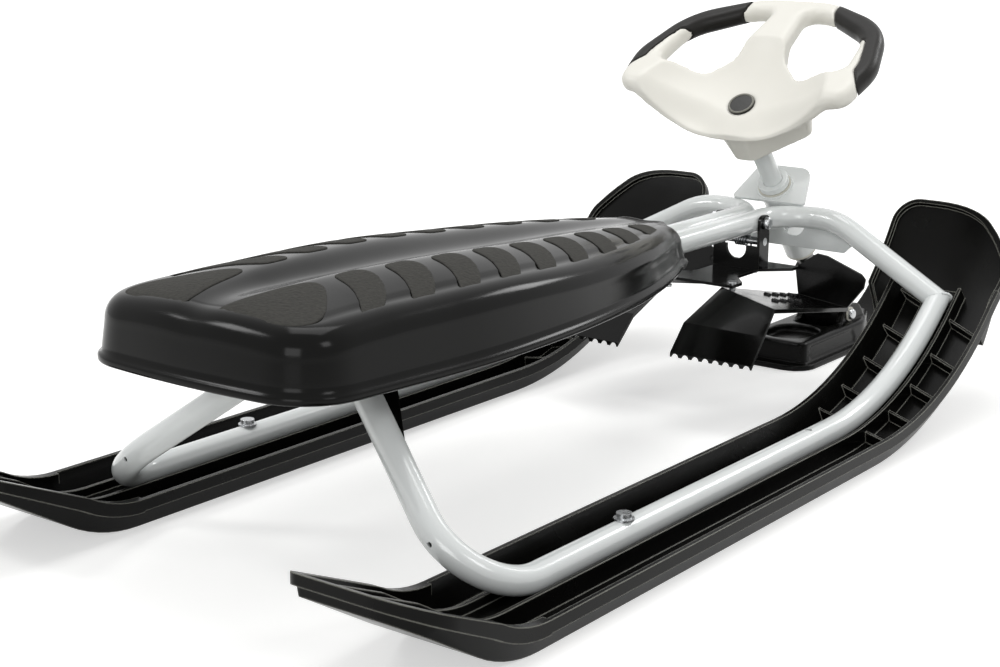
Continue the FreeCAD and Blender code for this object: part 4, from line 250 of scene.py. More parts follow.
# The same ABS painted lighter on the raised rim: a painted highlight, a grey ring round the dark disc.
HIGHLIGHT_RIM_ABS = Finish(
    "painted_highlight_rim_abs", "cap_plastic", "#6A6961", "#807F76", mottle=4, rough=0.36, grain_size=3, edge=0.3,
    edge_wear_and_highlight_colour="#99988E", specular=0.4)
# Glass-filled nylon: dry black with short fibre streaks.
GLASS_FILLED_NYLON = Finish(
    "black_glass_filled_nylon", "stem_plastic", "#0F0F0F", "#161616", mottle=8, rough=0.46,
    rough_spread=0.08, grain=Grain.FLOW, grain_size=1.0, grain_depth=0.03, edge=0.8,
    edge_wear_and_highlight_colour="#2E2E2E", edge_wear_and_highlight_share=0.4, specular=0.25)
# Natural cast nylon: milky and waxy.
NATURAL_NYLON = Finish(
    "natural_nylon", "bush_nylon", "#D6D4CA", "#CAC8BC", mottle=12, rough=0.4, grain_size=3, edge=0.4,
    edge_wear_and_highlight_colour="#E0DED4", edge_wear_and_highlight_share=0.3)
# Black powder coat on pressed steel: satin, grey on the edges, partly as scuffs and partly as a painted
# highlight.
BLACK_POWDER_COAT = Finish(
    "black_powder_coat_on_steel", "brake_paint", "#060606", "#0B0B0A", mottle=35, rough=0.13,
    grain_size=2, edge=0.7, edge_wear_and_highlight_colour="#5A5A57", specular=0.2)
# Bright zinc plate on steel: small crystals, bluish and a little cloudy.
BRIGHT_ZINC = Finish(
    "bright_zinc_plate", "zinc_steel", "#C4C6C7", "#AEB0B2", mottle=6, rough=0.28, rough_spread=0.08,
    grain=Grain.SPANGLE, grain_size=1.5, grain_depth=0.01, edge=0.4, edge_wear_and_highlight_colour="#DADBDC",
    edge_wear_and_highlight_share=0.6, metallic=1.0)
# Cold-drawn spring wire: grey with die lines along it.
DRAWN_WIRE = Finish(
    "drawn_spring_wire", "spring_steel", "#97999B", "#7E8082", mottle=5, rough=0.34, rough_spread=0.08,
    grain=Grain.FLOW, grain_size=0.8, edge=0.2, edge_wear_and_highlight_colour="#B0B2B4", edge_wear_and_highlight_share=0.4, metallic=1.0)
# Turned aluminium: grey, with the rings of the tool.
TURNED_ALUMINIUM = Finish(
    "turned_aluminium", "cone_metal", "#747472", "#626260", mottle=9, rough=0.34, rough_spread=0.06,
    grain=Grain.TURNED, grain_size=1.2, edge=0.4, edge_wear_and_highlight_colour="#A2A3A1", metallic=1.0)


def plain_mesh(built: bpy.types.Object) -> None:
    """Turns an object with live modifiers into a plain smooth-shaded mesh.

    Args:
        built: the object; its modifiers are removed.
    """
    bpy.context.view_layer.update()
    evaluated = built.evaluated_get(bpy.context.evaluated_depsgraph_get())
    mesh = bpy.data.meshes.new_from_object(evaluated)
    built.modifiers.clear()
    built.data = mesh
    mesh.shade_smooth()


def merged_copy(node_name: str, name: str) -> bpy.types.Object:
    """Copies a CAD node with its loose triangles joined.

    Args:
        node_name: the CAD node.
        name: the name of the copy.

    Returns:
        The copy, without a material.
    """
    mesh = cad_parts[node_name].data.copy()
    mesh.materials.clear()
    joined = bmesh.new()
    joined.from_mesh(mesh)
    bmesh.ops.remove_doubles(joined, verts=joined.verts, dist=MERGE_DISTANCE)
    joined.to_mesh(mesh)
    joined.free()
    if mesh.has_custom_normals:
        mesh.attributes.remove(mesh.attributes["custom_normal"])
    mesh.shade_smooth()
    mesh.set_sharp_from_angle(angle=math.radians(SHARP_ANGLE))
    return bpy.data.objects.new(name, mesh)


def ring_line(middle: Vector, across: Vector, along: Vector, start: float, end: float,
              steps: int) -> list[Vector]:
    """Walks along an oval.

    Args:
        middle: its middle.
        across: half axis at 0 degrees.
        along: half axis at 90 degrees.
        start: first angle in degrees.
        end: last angle in degrees.
        steps: number of points.

    Returns:
        The points.
    """
    angles = [math.radians(start + (end - start) * i / (steps - 1)) for i in range(steps)]
    return [middle + across * math.cos(a) + along * math.sin(a) for a in angles]


def loop_mesh(name: str, loops: list[list[Vector]]) -> bpy.types.Object:
    """Skins closed loops of equal length one after another.

    Args:
        name: the name of the new piece.
        loops: the loops in millimetres; the last closes the skin as a point, a line or the first again.

    Returns:
        The piece.
    """
    count = len(loops[0])
    spots = [spot * MM for loop in loops for spot in loop]
    faces = []
    for i in range(len(loops) - 1):
        for j in range(count):
            onward = (j + 1) % count
            faces.append((i * count + j, i * count + onward, (i + 1) * count + onward, (i + 1) * count + j))
    mesh = bpy.data.meshes.new(name)
    mesh.from_pydata(spots, [], faces)
    skin = bmesh.new()
    skin.from_mesh(mesh)
    bmesh.ops.remove_doubles(skin, verts=skin.verts, dist=MERGE_DISTANCE)
    bmesh.ops.dissolve_degenerate(skin, edges=skin.edges, dist=1e-7)
    bmesh.ops.recalc_face_normals(skin, faces=skin.faces)
    skin.to_mesh(mesh)
    skin.free()
    mesh.shade_smooth()
    return bpy.data.objects.new(name, mesh)


class WeldBead:
    """Geometry Nodes tree that lays overlapping drops of weld metal along edges."""

    def __init__(self) -> None:
        """Builds the tree with named inputs."""
        self.tree = bpy.data.node_groups.new("weld_bead", "GeometryNodeTree")
        face = self.tree.interface
        face.new_socket("Geometry", in_out="INPUT", socket_type="NodeSocketGeometry")
        self.keys = {}
        for label, kind in (("Drop Pitch", "NodeSocketFloat"), ("Drop Radius", "NodeSocketFloat"),
                            ("Seed", "NodeSocketInt"), ("Paint", "NodeSocketMaterial")):
            self.keys[label] = face.new_socket(label, in_out="INPUT", socket_type=kind).identifier
        face.new_socket("Geometry", in_out="OUTPUT", socket_type="NodeSocketGeometry")
        tree = self.tree
        start = add_node(tree, "NodeGroupInput").outputs
        path = add_node(tree, "GeometryNodeMeshToCurve", {"Mesh": start["Geometry"]})
        steps = add_node(tree, "GeometryNodeResampleCurve",
                         {"Curve": path.outputs[0], "Length": start["Drop Pitch"]}, mode="LENGTH")
        way = add_node(tree, "GeometryNodeInputTangent")
        turn = add_node(tree, "FunctionNodeAlignRotationToVector", {"Vector": way.outputs[0]}, axis="Z")
        drop = add_node(tree, "GeometryNodeMeshIcoSphere",
                        {"Radius": start["Drop Radius"], "Subdivisions": 3})
        swell = add_node(tree, "FunctionNodeRandomValue", {2: 0.85, 3: 1.15, "Seed": start["Seed"]},
                         data_type="FLOAT")
        spread = add_node(tree, "ShaderNodeCombineXYZ", {0: swell.outputs[1], 1: swell.outputs[1], 2: 0.8})
        drops = add_node(tree, "GeometryNodeInstanceOnPoints",
                         {"Points": steps.outputs[0], "Instance": drop.outputs[0],
                          "Rotation": turn.outputs[0], "Scale": spread.outputs[0]})
        solid = add_node(tree, "GeometryNodeRealizeInstances", {"Geometry": drops.outputs[0]})
        painted = add_node(tree, "GeometryNodeSetMaterial",
                           {"Geometry": solid.outputs[0], "Material": start["Paint"]})
        add_node(tree, "NodeGroupOutput", {"Geometry": painted.outputs[0]})

    def lay(self, name: str, line: list[Vector], paint: bpy.types.Material, pitch: float, radius: float,
            seed: int) -> bpy.types.Object:
        """Lays one bead.

        Args:
            name: the name of the new piece.
            line: points along the joint, in metres.
            paint: its material.
            pitch: distance from drop to drop in millimetres.
            radius: radius of a drop in millimetres.
            seed: fixed seed of the uneven drops.

        Returns:
            The bead as a plain mesh object.
        """
        mesh = bpy.data.meshes.new(name)
        mesh.from_pydata(line, [(i, i + 1) for i in range(len(line) - 1)], [])
        bead = bpy.data.objects.new(name, mesh)
        bpy.context.scene.collection.objects.link(bead)
        nodes = bead.modifiers.new("drops", "NODES")
        values = {"Drop Pitch": pitch * MM, "Drop Radius": radius * MM, "Seed": seed, "Paint": paint}
        nodes.node_group = self.tree
        for label, value in values.items():
            nodes[self.keys[label]] = value
        plain_mesh(bead)
        return bead


@dataclass
class SubAssembly:
    """CAD nodes of one sub-assembly by finish, and what is built onto them.

    Body is the CAD body that its own pieces move with.
    """

    body: str
    dressed: dict[Finish, tuple[str, ...]]

    def paint(self, finish: Finish) -> bpy.types.Material:
        """Finds or builds the material of a finish."""
        return bpy.data.materials.get(finish.name) or finish.material()

    def dress(self) -> None:
        """Gives every CAD node its finish."""
        for finish, names in self.dressed.items():
            for name in names:
                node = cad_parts[name]
                node.data.materials.clear()
                node.data.materials.append(self.paint(finish))
                LOG.info("%s: %s", name, finish.name)

    def add_piece(self, piece: bpy.types.Object, finish: Finish) -> bpy.types.Object:
        """Takes a new piece into the sub-assembly.

        Args:
            piece: the finished object, in place.
            finish: its finish.

        Returns:
            The piece.
        """
        if piece.name not in bpy.context.scene.collection.objects:
            bpy.context.scene.collection.objects.link(piece)
        if not piece.data.materials:
            piece.data.materials.append(self.paint(finish))
        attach(piece, self.body)
        LOG.info("%s: %s, %d faces", piece.name, finish.name, len(piece.data.polygons))
        return piece

    def soften(self, node_name: str, name: str, voxel: float, passes: int, finish: Finish) -> None:
        """Replaces a moulded CAD node by a copy with soft inner and outer corners.

        Args:
            node_name: the CAD node.
            name: the name of the new piece.
            voxel: fineness of the new skin in millimetres.
            passes: how often the skin is relaxed.
            finish: its finish.
        """
        piece = merged_copy(node_name, name)
        bpy.context.scene.collection.objects.link(piece)
        skin = piece.modifiers.new("skin", "REMESH")
        skin.mode = "VOXEL"
        skin.voxel_size = voxel * MM
        plain_mesh(piece)
        self.reshape(piece)
        relax = piece.modifiers.new("relax", "SMOOTH")
        relax.factor = 0.5
        relax.iterations = passes
        plain_mesh(piece)
        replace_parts(piece, node_name)
        self.add_piece(piece, finish)

    def reshape(self, piece: bpy.types.Object) -> None:
        """Moves points of a softened piece before it is relaxed; none by default."""

    def build(self) -> None:
        """Dresses the nodes and builds the added pieces."""
        self.dress()
        self.build_details()

    def build_details(self) -> None:
        """Builds the pieces that the CAD model leaves to the scene; none by default."""


@dataclass
class TubeFrame(SubAssembly):
    """Welded tube frame; sizes in millimetres.

    Elbow and arm are points on the middle lines of the right tubes, in metres.
    """

    elbow: tuple[float, float, float] = (0.195, 0.2759, 0.1039)
    arm: tuple[float, float, float] = (0.078, 0.289, 0.166)
    runner_way: tuple[float, float, float] = (0.0, 0.7593, 0.6508)
    tube_radius: float = 11.0
    head_radius: float = 17.6
    head_top: float = 33.2
    drop_pitch: float = 1.6
    drop_radius: float = 1.5

    def corner_line(self, side: int) -> list[Vector]:
        """Follows the upper side of the mitre between a runner and its arm.

        Args:
            side: 1 for the right, -1 for the left.

        Returns:
            The points of the joint.
        """
        middle = Vector(self.elbow)
        runner = Vector(self.runner_way)
        onward = (Vector(self.arm) - middle).normalized()
        cut = (runner + onward).normalized()
        level = runner.cross(onward).normalized()
        outer = (runner - onward).normalized()
        outer = (outer - cut * outer.dot(cut)).normalized()
        stretch = 1 / math.sqrt(max(0.05, 1 - outer.dot(runner) ** 2))
        radius = self.tube_radius * MM
        line = ring_line(middle, level * radius, outer * radius * stretch, 20, 160, 40)
        upper = ring_line(middle, level * -radius, outer * -radius * stretch, 20, 160, 40)
        chosen = max((line, upper), key=lambda points: sum(point.z for point in points))
        return [Vector((side * point.x, point.y, point.z)) for point in chosen]

    def build_details(self) -> None:
        """Lays the weld beads that show at the front corners and round the steering head."""
        bead = WeldBead()
        paint = self.paint(WHITE_POWDER_COAT)
        for side, label in ((1, "right"), (-1, "left")):
            line = self.corner_line(side)
            weld = bead.lay(f"{label}_corner_weld", line, paint, self.drop_pitch, self.drop_radius, 3 + side)
            self.add_piece(weld, WHITE_POWDER_COAT)
        middle = STEERING_HEAD + STEERING_AXIS * self.head_top * MM
        ring = ring_line(middle, RIGHTWARD * self.head_radius * MM,
                         STEERING_AXIS.cross(RIGHTWARD) * self.head_radius * MM, 0, 360, 90)
        weld = bead.lay("head_plate_weld", ring, paint, self.drop_pitch, self.drop_radius, 7)
        self.add_piece(weld, WHITE_POWDER_COAT)


@dataclass
class SkiPair(SubAssembly):
    """Moulded side skis; sizes in millimetres, the toe's in the plane of its middle."""

    middle_x: float = 195.0
    curve_y: float = 59.0
    curve_radius: float = 357.0
    toe_turn: float = 48.0
    toe_half: float = 74.2
    toe_waist: float = 62.0
    toe_crest: float = 25.0
    toe_shoulder: float = 42.0
    toe_fall: float = 66.0
    fullness: float = 26.0
    full_from: float = 20.0
    full_to: float = 106.0

    def full_toe(self, side: str, sign: int) -> bpy.types.Object:
        """Carries the outer edge of a ski's toe out to a full, even curve.

        Args:
            side: left or right.
            sign: -1 or 1, towards that side.

        Returns:
            The ski.
        """
        ski = merged_copy(f"{side}_ski", f"{side}_moulded_ski")
        turn = math.radians(self.toe_turn)
        for vertex in ski.data.vertices:
            y = vertex.co.y / MM - self.curve_y - self.curve_radius * math.sin(turn)
            z = vertex.co.z / MM - self.curve_radius * (1 - math.cos(turn))
            depth = self.toe_half - y * math.cos(turn) - z * math.sin(turn)
            across = sign * vertex.co.x / MM - self.middle_x + self.toe_waist
            fading = eased((depth - self.full_from) / (self.full_to - self.full_from))
            edge = (self.toe_crest + self.toe_shoulder) * limited(depth / self.toe_fall) - self.toe_crest
            reach = limited(across / (self.toe_waist + edge))
            vertex.co.x += sign * MM * reach * self.fullness * (1 - fading)
        return ski

    def build_details(self) -> None:
        """Builds both skis with their full toes."""
        for side, sign in (("left", -1), ("right", 1)):
            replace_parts(self.add_piece(self.full_toe(side, sign), BLACK_POLYETHYLENE), f"{side}_ski")


@dataclass
class FrontSki(SubAssembly):
    """Moulded front ski on its stem; voxel is the fineness of its skin in millimetres."""

    voxel: float = 1.3
    passes: int = 7

    def build_details(self) -> None:
        """Softens the edges that the mould leaves round."""
        self.soften("front_ski", "moulded_front_ski", self.voxel, self.passes, BLACK_POLYETHYLENE)


@dataclass
class FootBrake(SubAssembly):
    """Pressed foot brake with its claws and its return spring, all of it from the CAD model."""


@dataclass
class SteeringWheel(SubAssembly):
    """Moulded wheel on its column; sizes in millimetres along and round the steering axis."""

    voxel: float = 1.6
    passes: int = 16
    rim_radius: float = 12.2
    rim_half: float = 1.1
    rim_flat: float = 0.8
    rim_turns: int = 96
    rim_level: float = 153.0
    dish_level: float = 151.0
    dish_radius: float = 157.0
    wall: float = 15.0
    fall: float = 0.75
    fall_width: float = 36.0
    cap_clear: float = 13.0
    cap_spread: float = 25.0
    grip_voxel: float = 1.2
    grip_passes: int = 10
    collar_voxel: float = 0.6
    collar_passes: int = 4

    def reshape(self, piece: bpy.types.Object) -> None:
        """Lets the face of the wheel fall from its arms and its cap to the near edge.

        Args:
            piece: the piece with its new skin; only the wheel's face changes.
        """
        if piece.name != "moulded_wheel":
            return
        for vertex in piece.data.vertices:
            place = vertex.co - STEERING_HEAD
            across = place.x / MM
            ahead = place.dot(STEERING_AHEAD) / MM
            room = self.dish_radius ** 2 - across ** 2 - ahead ** 2
            under = self.dish_level + self.dish_radius - math.sqrt(max(0.0, room)) - self.wall
            above = max(0.0, place.dot(STEERING_AXIS) / MM - under)
            start = -self.cap_clear * math.exp(-(across / self.cap_spread) ** 2)
            lowered = above * self.fall * eased((start - ahead) / self.fall_width)
            vertex.co -= STEERING_AXIS * MM * lowered

    def cap_rim(self) -> bpy.types.Object:
        """Turns the raised rim of the hub cap.

        Returns:
            The rim.
        """
        middle = STEERING_HEAD / MM + STEERING_AXIS * self.rim_level
        loops = []
        for i in range(self.rim_turns + 1):
            angle = 2 * math.pi * i / self.rim_turns
            out = RIGHTWARD * math.cos(angle) + STEERING_AXIS.cross(RIGHTWARD) * math.sin(angle)
            loops.append(ring_line(middle + out * self.rim_radius, out * self.rim_half,
                                   STEERING_AXIS * self.rim_half * self.rim_flat, 0, 330, 12))
        return loop_mesh("hub_cap_rim", loops)

    def build_details(self) -> None:
        """Softens the moulded wheel, its grips and the collar, and adds the rim of the cap."""
        self.soften("steering_wheel", "moulded_wheel", self.voxel, self.passes, WARM_WHITE_ABS)
        for side in ("left", "right"):
            self.soften(f"{side}_wheel_grip", f"{side}_moulded_grip", self.grip_voxel, self.grip_passes,
                        SOFT_GRIP_RUBBER)
        self.soften("column_collar", "painted_collar", self.collar_voxel, self.collar_passes,
                    WHITE_POWDER_COAT)
        self.add_piece(self.cap_rim(), HIGHLIGHT_RIM_ABS)


@dataclass(frozen=True)
class SeatStation:
    """One place along the seat, in millimetres.

    Half is the half width at the lip, crest the line of the pads' inner ends, dip the depth of the valley
    between the crests, and fall the drop from a crest to the edge as a share of the half width.
    """

    y: float
    half: float
    lip_z: float
    crest_z: float
    crest_x: float
    dip: float
    fall: float


SEAT_STATIONS = (
    SeatStation(-530, 116, 160.5, 205, 24, 0, 0.07),
    SeatStation(-500, 116, 159.5, 214, 24, 1, 0.09),
    SeatStation(-431, 117, 157, 220.5, 31, 6, 0.15),
    SeatStation(-380, 118.5, 155.5, 221.5, 35, 8, 0.18),
    SeatStation(-325, 120.5, 155, 220.5, 40, 8.5, 0.18),
    SeatStation(-274, 120, 155, 218.5, 42, 8.5, 0.18),
    SeatStation(-190, 114, 155, 212.5, 40, 7, 0.18),
    SeatStation(-97, 99, 155, 206, 34, 5, 0.18),
    SeatStation(-20, 77, 155, 199, 26, 2.5, 0.17),
    SeatStation(45, 50, 155, 192, 18, 1, 0.15),
    SeatStation(66, 40, 155, 189, 14, 0.5, 0.15),
)


# The seat's lip from its lower edge up: distance inward in millimetres, share of its height.
LIP_SECTION = ((1.0, 0.0), (0.0, 0.2), (0.0, 0.75), (0.9, 1.0))
# A pad from its foot over its round edge to its middle: share of the way out, share of its height.
PAD_SECTION = ((1.0, -0.6), (1.0, 0.55), (0.985, 0.85), (0.96, 1.0), *((i / 5, 1.0) for i in (4, 3, 2, 1, 0)))
# The large pad at the rear on the right: places across and along, in millimetres.
REAR_PAD_MIDDLE = Vector((53, -477))
REAR_PAD_EDGE = ((17, -512), (23, -472), (31, -436), (46, -434), (66, -452), (82, -472), (88, -489),
                 (82, -502), (64, -509), (38, -513))


def seat_value(name: str, y: float) -> float:
    """Reads one size of the seat between its stations.

    Args:
        name: the field of the station.
        y: the place along the seat in millimetres.

    Returns:
        The size on a smooth curve through the stations.
    """
    places = [station.y for station in SEAT_STATIONS]
    values = [getattr(station, name) for station in SEAT_STATIONS]
    steps = [(b - a) / (q - p) for a, b, p, q in zip(values, values[1:], places, places[1:])]
    slopes = [steps[0]] + [(a + b) / 2 for a, b in zip(steps, steps[1:])] + [steps[-1]]
    y = min(places[-1], max(places[0], y))
    k = max(i for i in range(len(steps)) if y >= places[i])
    run = places[k + 1] - places[k]
    t = (y - places[k]) / run
    rest = 1 - t
    return (values[k] * (1 + 2 * t) * rest ** 2 + slopes[k] * run * t * rest ** 2
            + values[k + 1] * t ** 2 * (1 + 2 * rest) - slopes[k + 1] * run * t ** 2 * rest)


@dataclass
class Seat(SubAssembly):
    """Moulded seat with its grip pads; sizes in millimetres."""

    lip_height: float = 6.0
    lip_step: float = 3.0
    draft: float = 3.0
    roll: float = 20.0
    wall: float = 4.0
    corner: float = 47.0
    bow: float = 3.0
    loop_points: int = 420
    loop_passes: int = 3
    nose: float = 30.0
    nose_power: float = 0.75
    tube_reach: float = 29.0
    tube_top: float = 177.5
    arch_depth: float = 14.0
    arch_rise: float = 8.0
    arch_flank: float = 6.0
    spine_rear: float = 60.0
    spine_front: float = 45.0
    wall_steps: int = 6
    roll_steps: int = 10
    top_steps: int = 30
    blend_steps: int = 3
    crown: float = 1.8
    boss_radius: float = 8.0
    boss_foot: float = 179.0
    boss_x: float = 45.0
    boss_y: tuple[float, float] = (-300.0, -95.0)
    pad_points: int = 72
    pad_rise: float = 0.9
    pad_start: float = -397.0
    pad_pitch: float = 49.5
    pad_count: int = 9
    pad_length: float = 34.0
    pad_shrink: float = 0.7
    pad_taper: float = 0.35
    pad_sweep: float = 0.0105
    pad_square: float = 0.45
    pad_margin: float = 14.0
    pad_lag: float = 20.0
    pad_overlap: float = 1.0
    gusset_waist: float = 150.0
    gusset_lift: float = 4.0

    def outline(self) -> list[Vector]:
        """Draws the seat's plan at the lip.

        Returns:
            A closed loop of evenly spaced points.
        """
        rear, front = SEAT_STATIONS[0].y, SEAT_STATIONS[-1].y
        half = SEAT_STATIONS[0].half
        flat = half - self.corner
        right = [Vector((flat * i / 20, rear + self.bow * (i / 20) ** 2, 0)) for i in range(20)]
        hub = Vector((flat, rear + self.bow + self.corner, 0))
        right += [hub + Vector((math.sin(a), -math.cos(a), 0)) * self.corner
                  for a in (math.radians(3 * i) for i in range(30))]
        nose = front - self.nose
        right += [Vector((seat_value("half", y), y, 0))
                  for y in (hub.y + (nose - hub.y) * i / 120 for i in range(120))]
        width = seat_value("half", nose)
        for a in (math.radians(3 * i) for i in range(31)):
            across, along = math.cos(a) ** self.nose_power, math.sin(a) ** self.nose_power
            right.append(Vector((width * across, nose + self.nose * along, 0)))
        loop = right + [Vector((-spot.x, spot.y, 0)) for spot in reversed(right[1:-1])]
        return self.evened(self.evened(loop))

    def evened(self, loop: list[Vector]) -> list[Vector]:
        """Spaces the points of a closed loop evenly and takes off small corners.

        Args:
            loop: the points.

        Returns:
            The new loop.
        """
        count = self.loop_points
        reach = [0.0]
        for here, ahead in zip(loop, loop[1:] + loop[:1]):
            reach.append(reach[-1] + (ahead - here).length)
        spots, k = [], 0
        for i in range(count):
            goal = reach[-1] * i / count
            while reach[k + 1] < goal:
                k += 1
            share = (goal - reach[k]) / max(1e-9, reach[k + 1] - reach[k])
            spots.append(loop[k].lerp(loop[(k + 1) % len(loop)], share))
        for _ in range(self.loop_passes):
            spots = [(spots[i - 1] + 2 * spots[i] + spots[(i + 1) % count]) / 4 for i in range(count)]
        return spots

    def height(self, x: float, y: float) -> float:
        """Reads the top of the seat inside its rolled edge.

        Args:
            x: place across.
            y: place along.

        Returns:
            The height.
        """
        crest = seat_value("crest_x", y)
        top = seat_value("crest_z", y)
        across = abs(x)
        if across < crest:
            return top - seat_value("dip", y) * (1 + math.cos(math.pi * across / crest)) / 2
        half = seat_value("half", y)
        share = min(1.0, (across - crest) / (half - crest))
        return top - seat_value("fall", y) * half * share ** self.crown

    def skin(self, plan: list[Vector], inset: float) -> list[list[Vector]]:
        """Builds the loops of one face of the shell from its lower edge to the middle line.

        Args:
            plan: the outline at the lip.
            inset: 0 for the outside, the wall for the inside.

        Returns:
            The loops.
        """
        count = len(plan)
        inward = []
        for i in range(count):
            way = plan[(i + 1) % count] - plan[i - 1]
            inward.append(Vector((-way.y, way.x, 0)).normalized())
        front = SEAT_STATIONS[-1].y
        base = self.lip_step + self.draft + inset
        columns = []
        for spot, way in zip(plan, inward):
            over = (limited((spot.y - front + self.arch_depth) / self.arch_rise)
                    * limited((self.tube_reach - abs(spot.x)) / self.arch_flank))
            edge = seat_value("lip_z", spot.y)
            low = edge + over * (self.tube_top - edge)
            brink = spot + way * (base + self.roll)
            top = self.height(brink.x, brink.y) - inset
            lip = min(self.lip_height, 0.3 * (top - low))
            roll = max(1.0, min(self.roll, 0.5 * (top - low)) - inset / 2)
            if inset:
                steps, foot = [(self.lip_step + inset, low)], low + 1.0
            else:
                steps = [(reach, low + share * lip) for reach, share in LIP_SECTION]
                steps.append((self.lip_step, low + 1.15 * lip))
                foot = low + 1.4 * lip
            for i in range(1, self.wall_steps + 1):
                steps.append((self.lip_step + inset + self.draft * i / self.wall_steps,
                              foot + (top - roll - foot) * i / self.wall_steps))
            for i in range(1, self.roll_steps + 1):
                a = math.radians(90 / self.roll_steps * i)
                steps.append((base + roll * (1 - math.cos(a)), top - roll + roll * math.sin(a)))
            column = [spot + way * reach + Vector((0, 0, z)) for reach, z in steps]
            rim = column[-1]
            rearmost = SEAT_STATIONS[0].y + self.spine_rear
            spine = Vector((0, min(front - self.spine_front, max(rearmost, spot.y)), 0))
            for i in range(1, self.top_steps + 1):
                here = Vector((rim.x, rim.y, 0)).lerp(spine, i / self.top_steps)
                settled = min(1.0, i / self.blend_steps)
                here.z = rim.z * (1 - settled) + (self.height(here.x, here.y) - inset) * settled
                column.append(here)
            columns.append(column)
        return [[column[k] for column in columns] for k in range(len(columns[0]))]

    def shell(self) -> bpy.types.Object:
        """Builds the hollow shell."""
        plan = self.outline()
        return loop_mesh("moulded_seat", list(reversed(self.skin(plan, self.wall))) + self.skin(plan, 0.0))

    def pad(self, name: str, side: int,
            spot_at: Callable[[float, float], tuple[float, float]]) -> bpy.types.Object:
        """Builds one grip pad that follows the seat.

        Args:
            name: the name of the pad.
            side: 1 for the right, -1 for the left.
            spot_at: place across and along for a share of the way from the pad's middle and a turn.

        Returns:
            The pad.
        """
        loops = []
        for share, rise in PAD_SECTION:
            loop = []
            for i in range(self.pad_points):
                x, y = spot_at(share, 2 * math.pi * i / self.pad_points)
                edge = min(seat_value("half", y) - x, y - SEAT_STATIONS[0].y) - self.lip_step - self.draft
                gone = self.roll - math.sqrt(max(0.0, self.roll ** 2 - max(0.0, self.roll - edge) ** 2))
                loop.append(Vector((side * x, y, self.height(x, y) - gone + rise * self.pad_rise)))
            loops.append(loop)
        return loop_mesh(name, loops)

    def small_pad_spot(self, index: int) -> Callable[[float, float], tuple[float, float]]:
        """Draws one crescent of a column.

        Args:
            index: its number from the rear.

        Returns:
            The place on the pad for a share of the way from its middle and a turn.
        """
        start = self.pad_start + self.pad_pitch * index
        inner = seat_value("crest_x", start) - self.pad_overlap
        outer = seat_value("half", start - self.pad_lag) - self.pad_margin

        def spot(share: float, turn: float) -> tuple[float, float]:
            """Finds one place on the crescent.

            Args:
                share: share of the way from its middle to its edge.
                turn: direction from its middle in radians.

            Returns:
                The place across and along.
            """
            c, s = math.cos(turn), math.sin(turn)
            across = share * math.copysign(abs(c) ** self.pad_square, c)
            along = share * math.copysign(abs(s) ** self.pad_square, s)
            way = (across + 1) / 2
            x = inner + (outer - inner) * way
            length = (self.pad_length - self.pad_shrink * index) * (1 - self.pad_taper * way ** 2)
            return x, start - self.pad_sweep * (x - inner) ** 2 + along * length / 2

        return spot

    def big_pad_spot(self, share: float, turn: float) -> tuple[float, float]:
        """Draws the large pad at the rear of a column.

        Args:
            share: share of the way from its middle to its edge.
            turn: direction from its middle in radians.

        Returns:
            The place across and along.
        """
        count = len(REAR_PAD_EDGE)
        place = turn / (2 * math.pi) * count
        k = int(place) % count
        t = place - int(place)
        a, b, c, d = (Vector(REAR_PAD_EDGE[(k + i) % count]) for i in (-1, 0, 1, 2))
        bend, twist = 2 * a - 5 * b + 4 * c - d, 3 * b - a - 3 * c + d
        edge = 0.5 * (2 * b + (c - a) * t + bend * t ** 2 + twist * t ** 3)
        spot = REAR_PAD_MIDDLE.lerp(edge, share)
        return spot.x, spot.y

    def raised_gusset(self, side: str) -> bpy.types.Object:
        """Carries a leg gusset up to the seat's lower edge.

        Args:
            side: left or right.

        Returns:
            The gusset.
        """
        gusset = merged_copy(f"{side}_leg_gusset", f"{side}_raised_gusset")
        for vertex in gusset.data.vertices:
            if vertex.co.z > self.gusset_waist * MM:
                vertex.co.z += self.gusset_lift * MM
        return gusset

    def boss(self, name: str, x: float, y: float) -> bpy.types.Object:
        """Turns one screw boss below the seat's ceiling.

        Args:
            name: the name of the boss.
            x: place across.
            y: place along.

        Returns:
            The boss.
        """
        ceiling = self.height(x, y) - self.wall
        radius, foot = self.boss_radius, self.boss_foot
        rises = ((0.0, foot), (radius - 1, foot), (radius, foot + 1), (radius, ceiling - 3),
                 (radius + 1, ceiling - 1), (radius + 3, ceiling + 0.5), (0.0, ceiling + 0.5))
        turns = [math.radians(7.5 * i) for i in range(48)]
        return loop_mesh(name, [[Vector((x + reach * math.cos(a), y + reach * math.sin(a), z)) for a in turns]
                                for reach, z in rises])

    def build_details(self) -> None:
        """Builds the shell, its pads, and the gussets and screw bosses under it."""
        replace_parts(self.add_piece(self.shell(), GLOSS_POLYPROPYLENE), "seat_shell")
        pads = []
        for side, label in ((1, "right"), (-1, "left")):
            made = [self.pad(f"{label}_rear_pad", side, self.big_pad_spot)]
            made += [self.pad(f"{label}_pad_{index + 1}", side, self.small_pad_spot(index))
                     for index in range(self.pad_count)]
            pads += [self.add_piece(pad, GRIP_PAD_RUBBER) for pad in made]
            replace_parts(self.add_piece(self.raised_gusset(label), GLOSS_POLYPROPYLENE), f"{label}_leg_gusset")
            for place, y in zip(("rear", "front"), self.boss_y):
                self.add_piece(self.boss(f"{label}_{place}_boss", side * self.boss_x, y), GLOSS_POLYPROPYLENE)
        for pad in pads:
            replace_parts(pad, "seat_grip_pads")


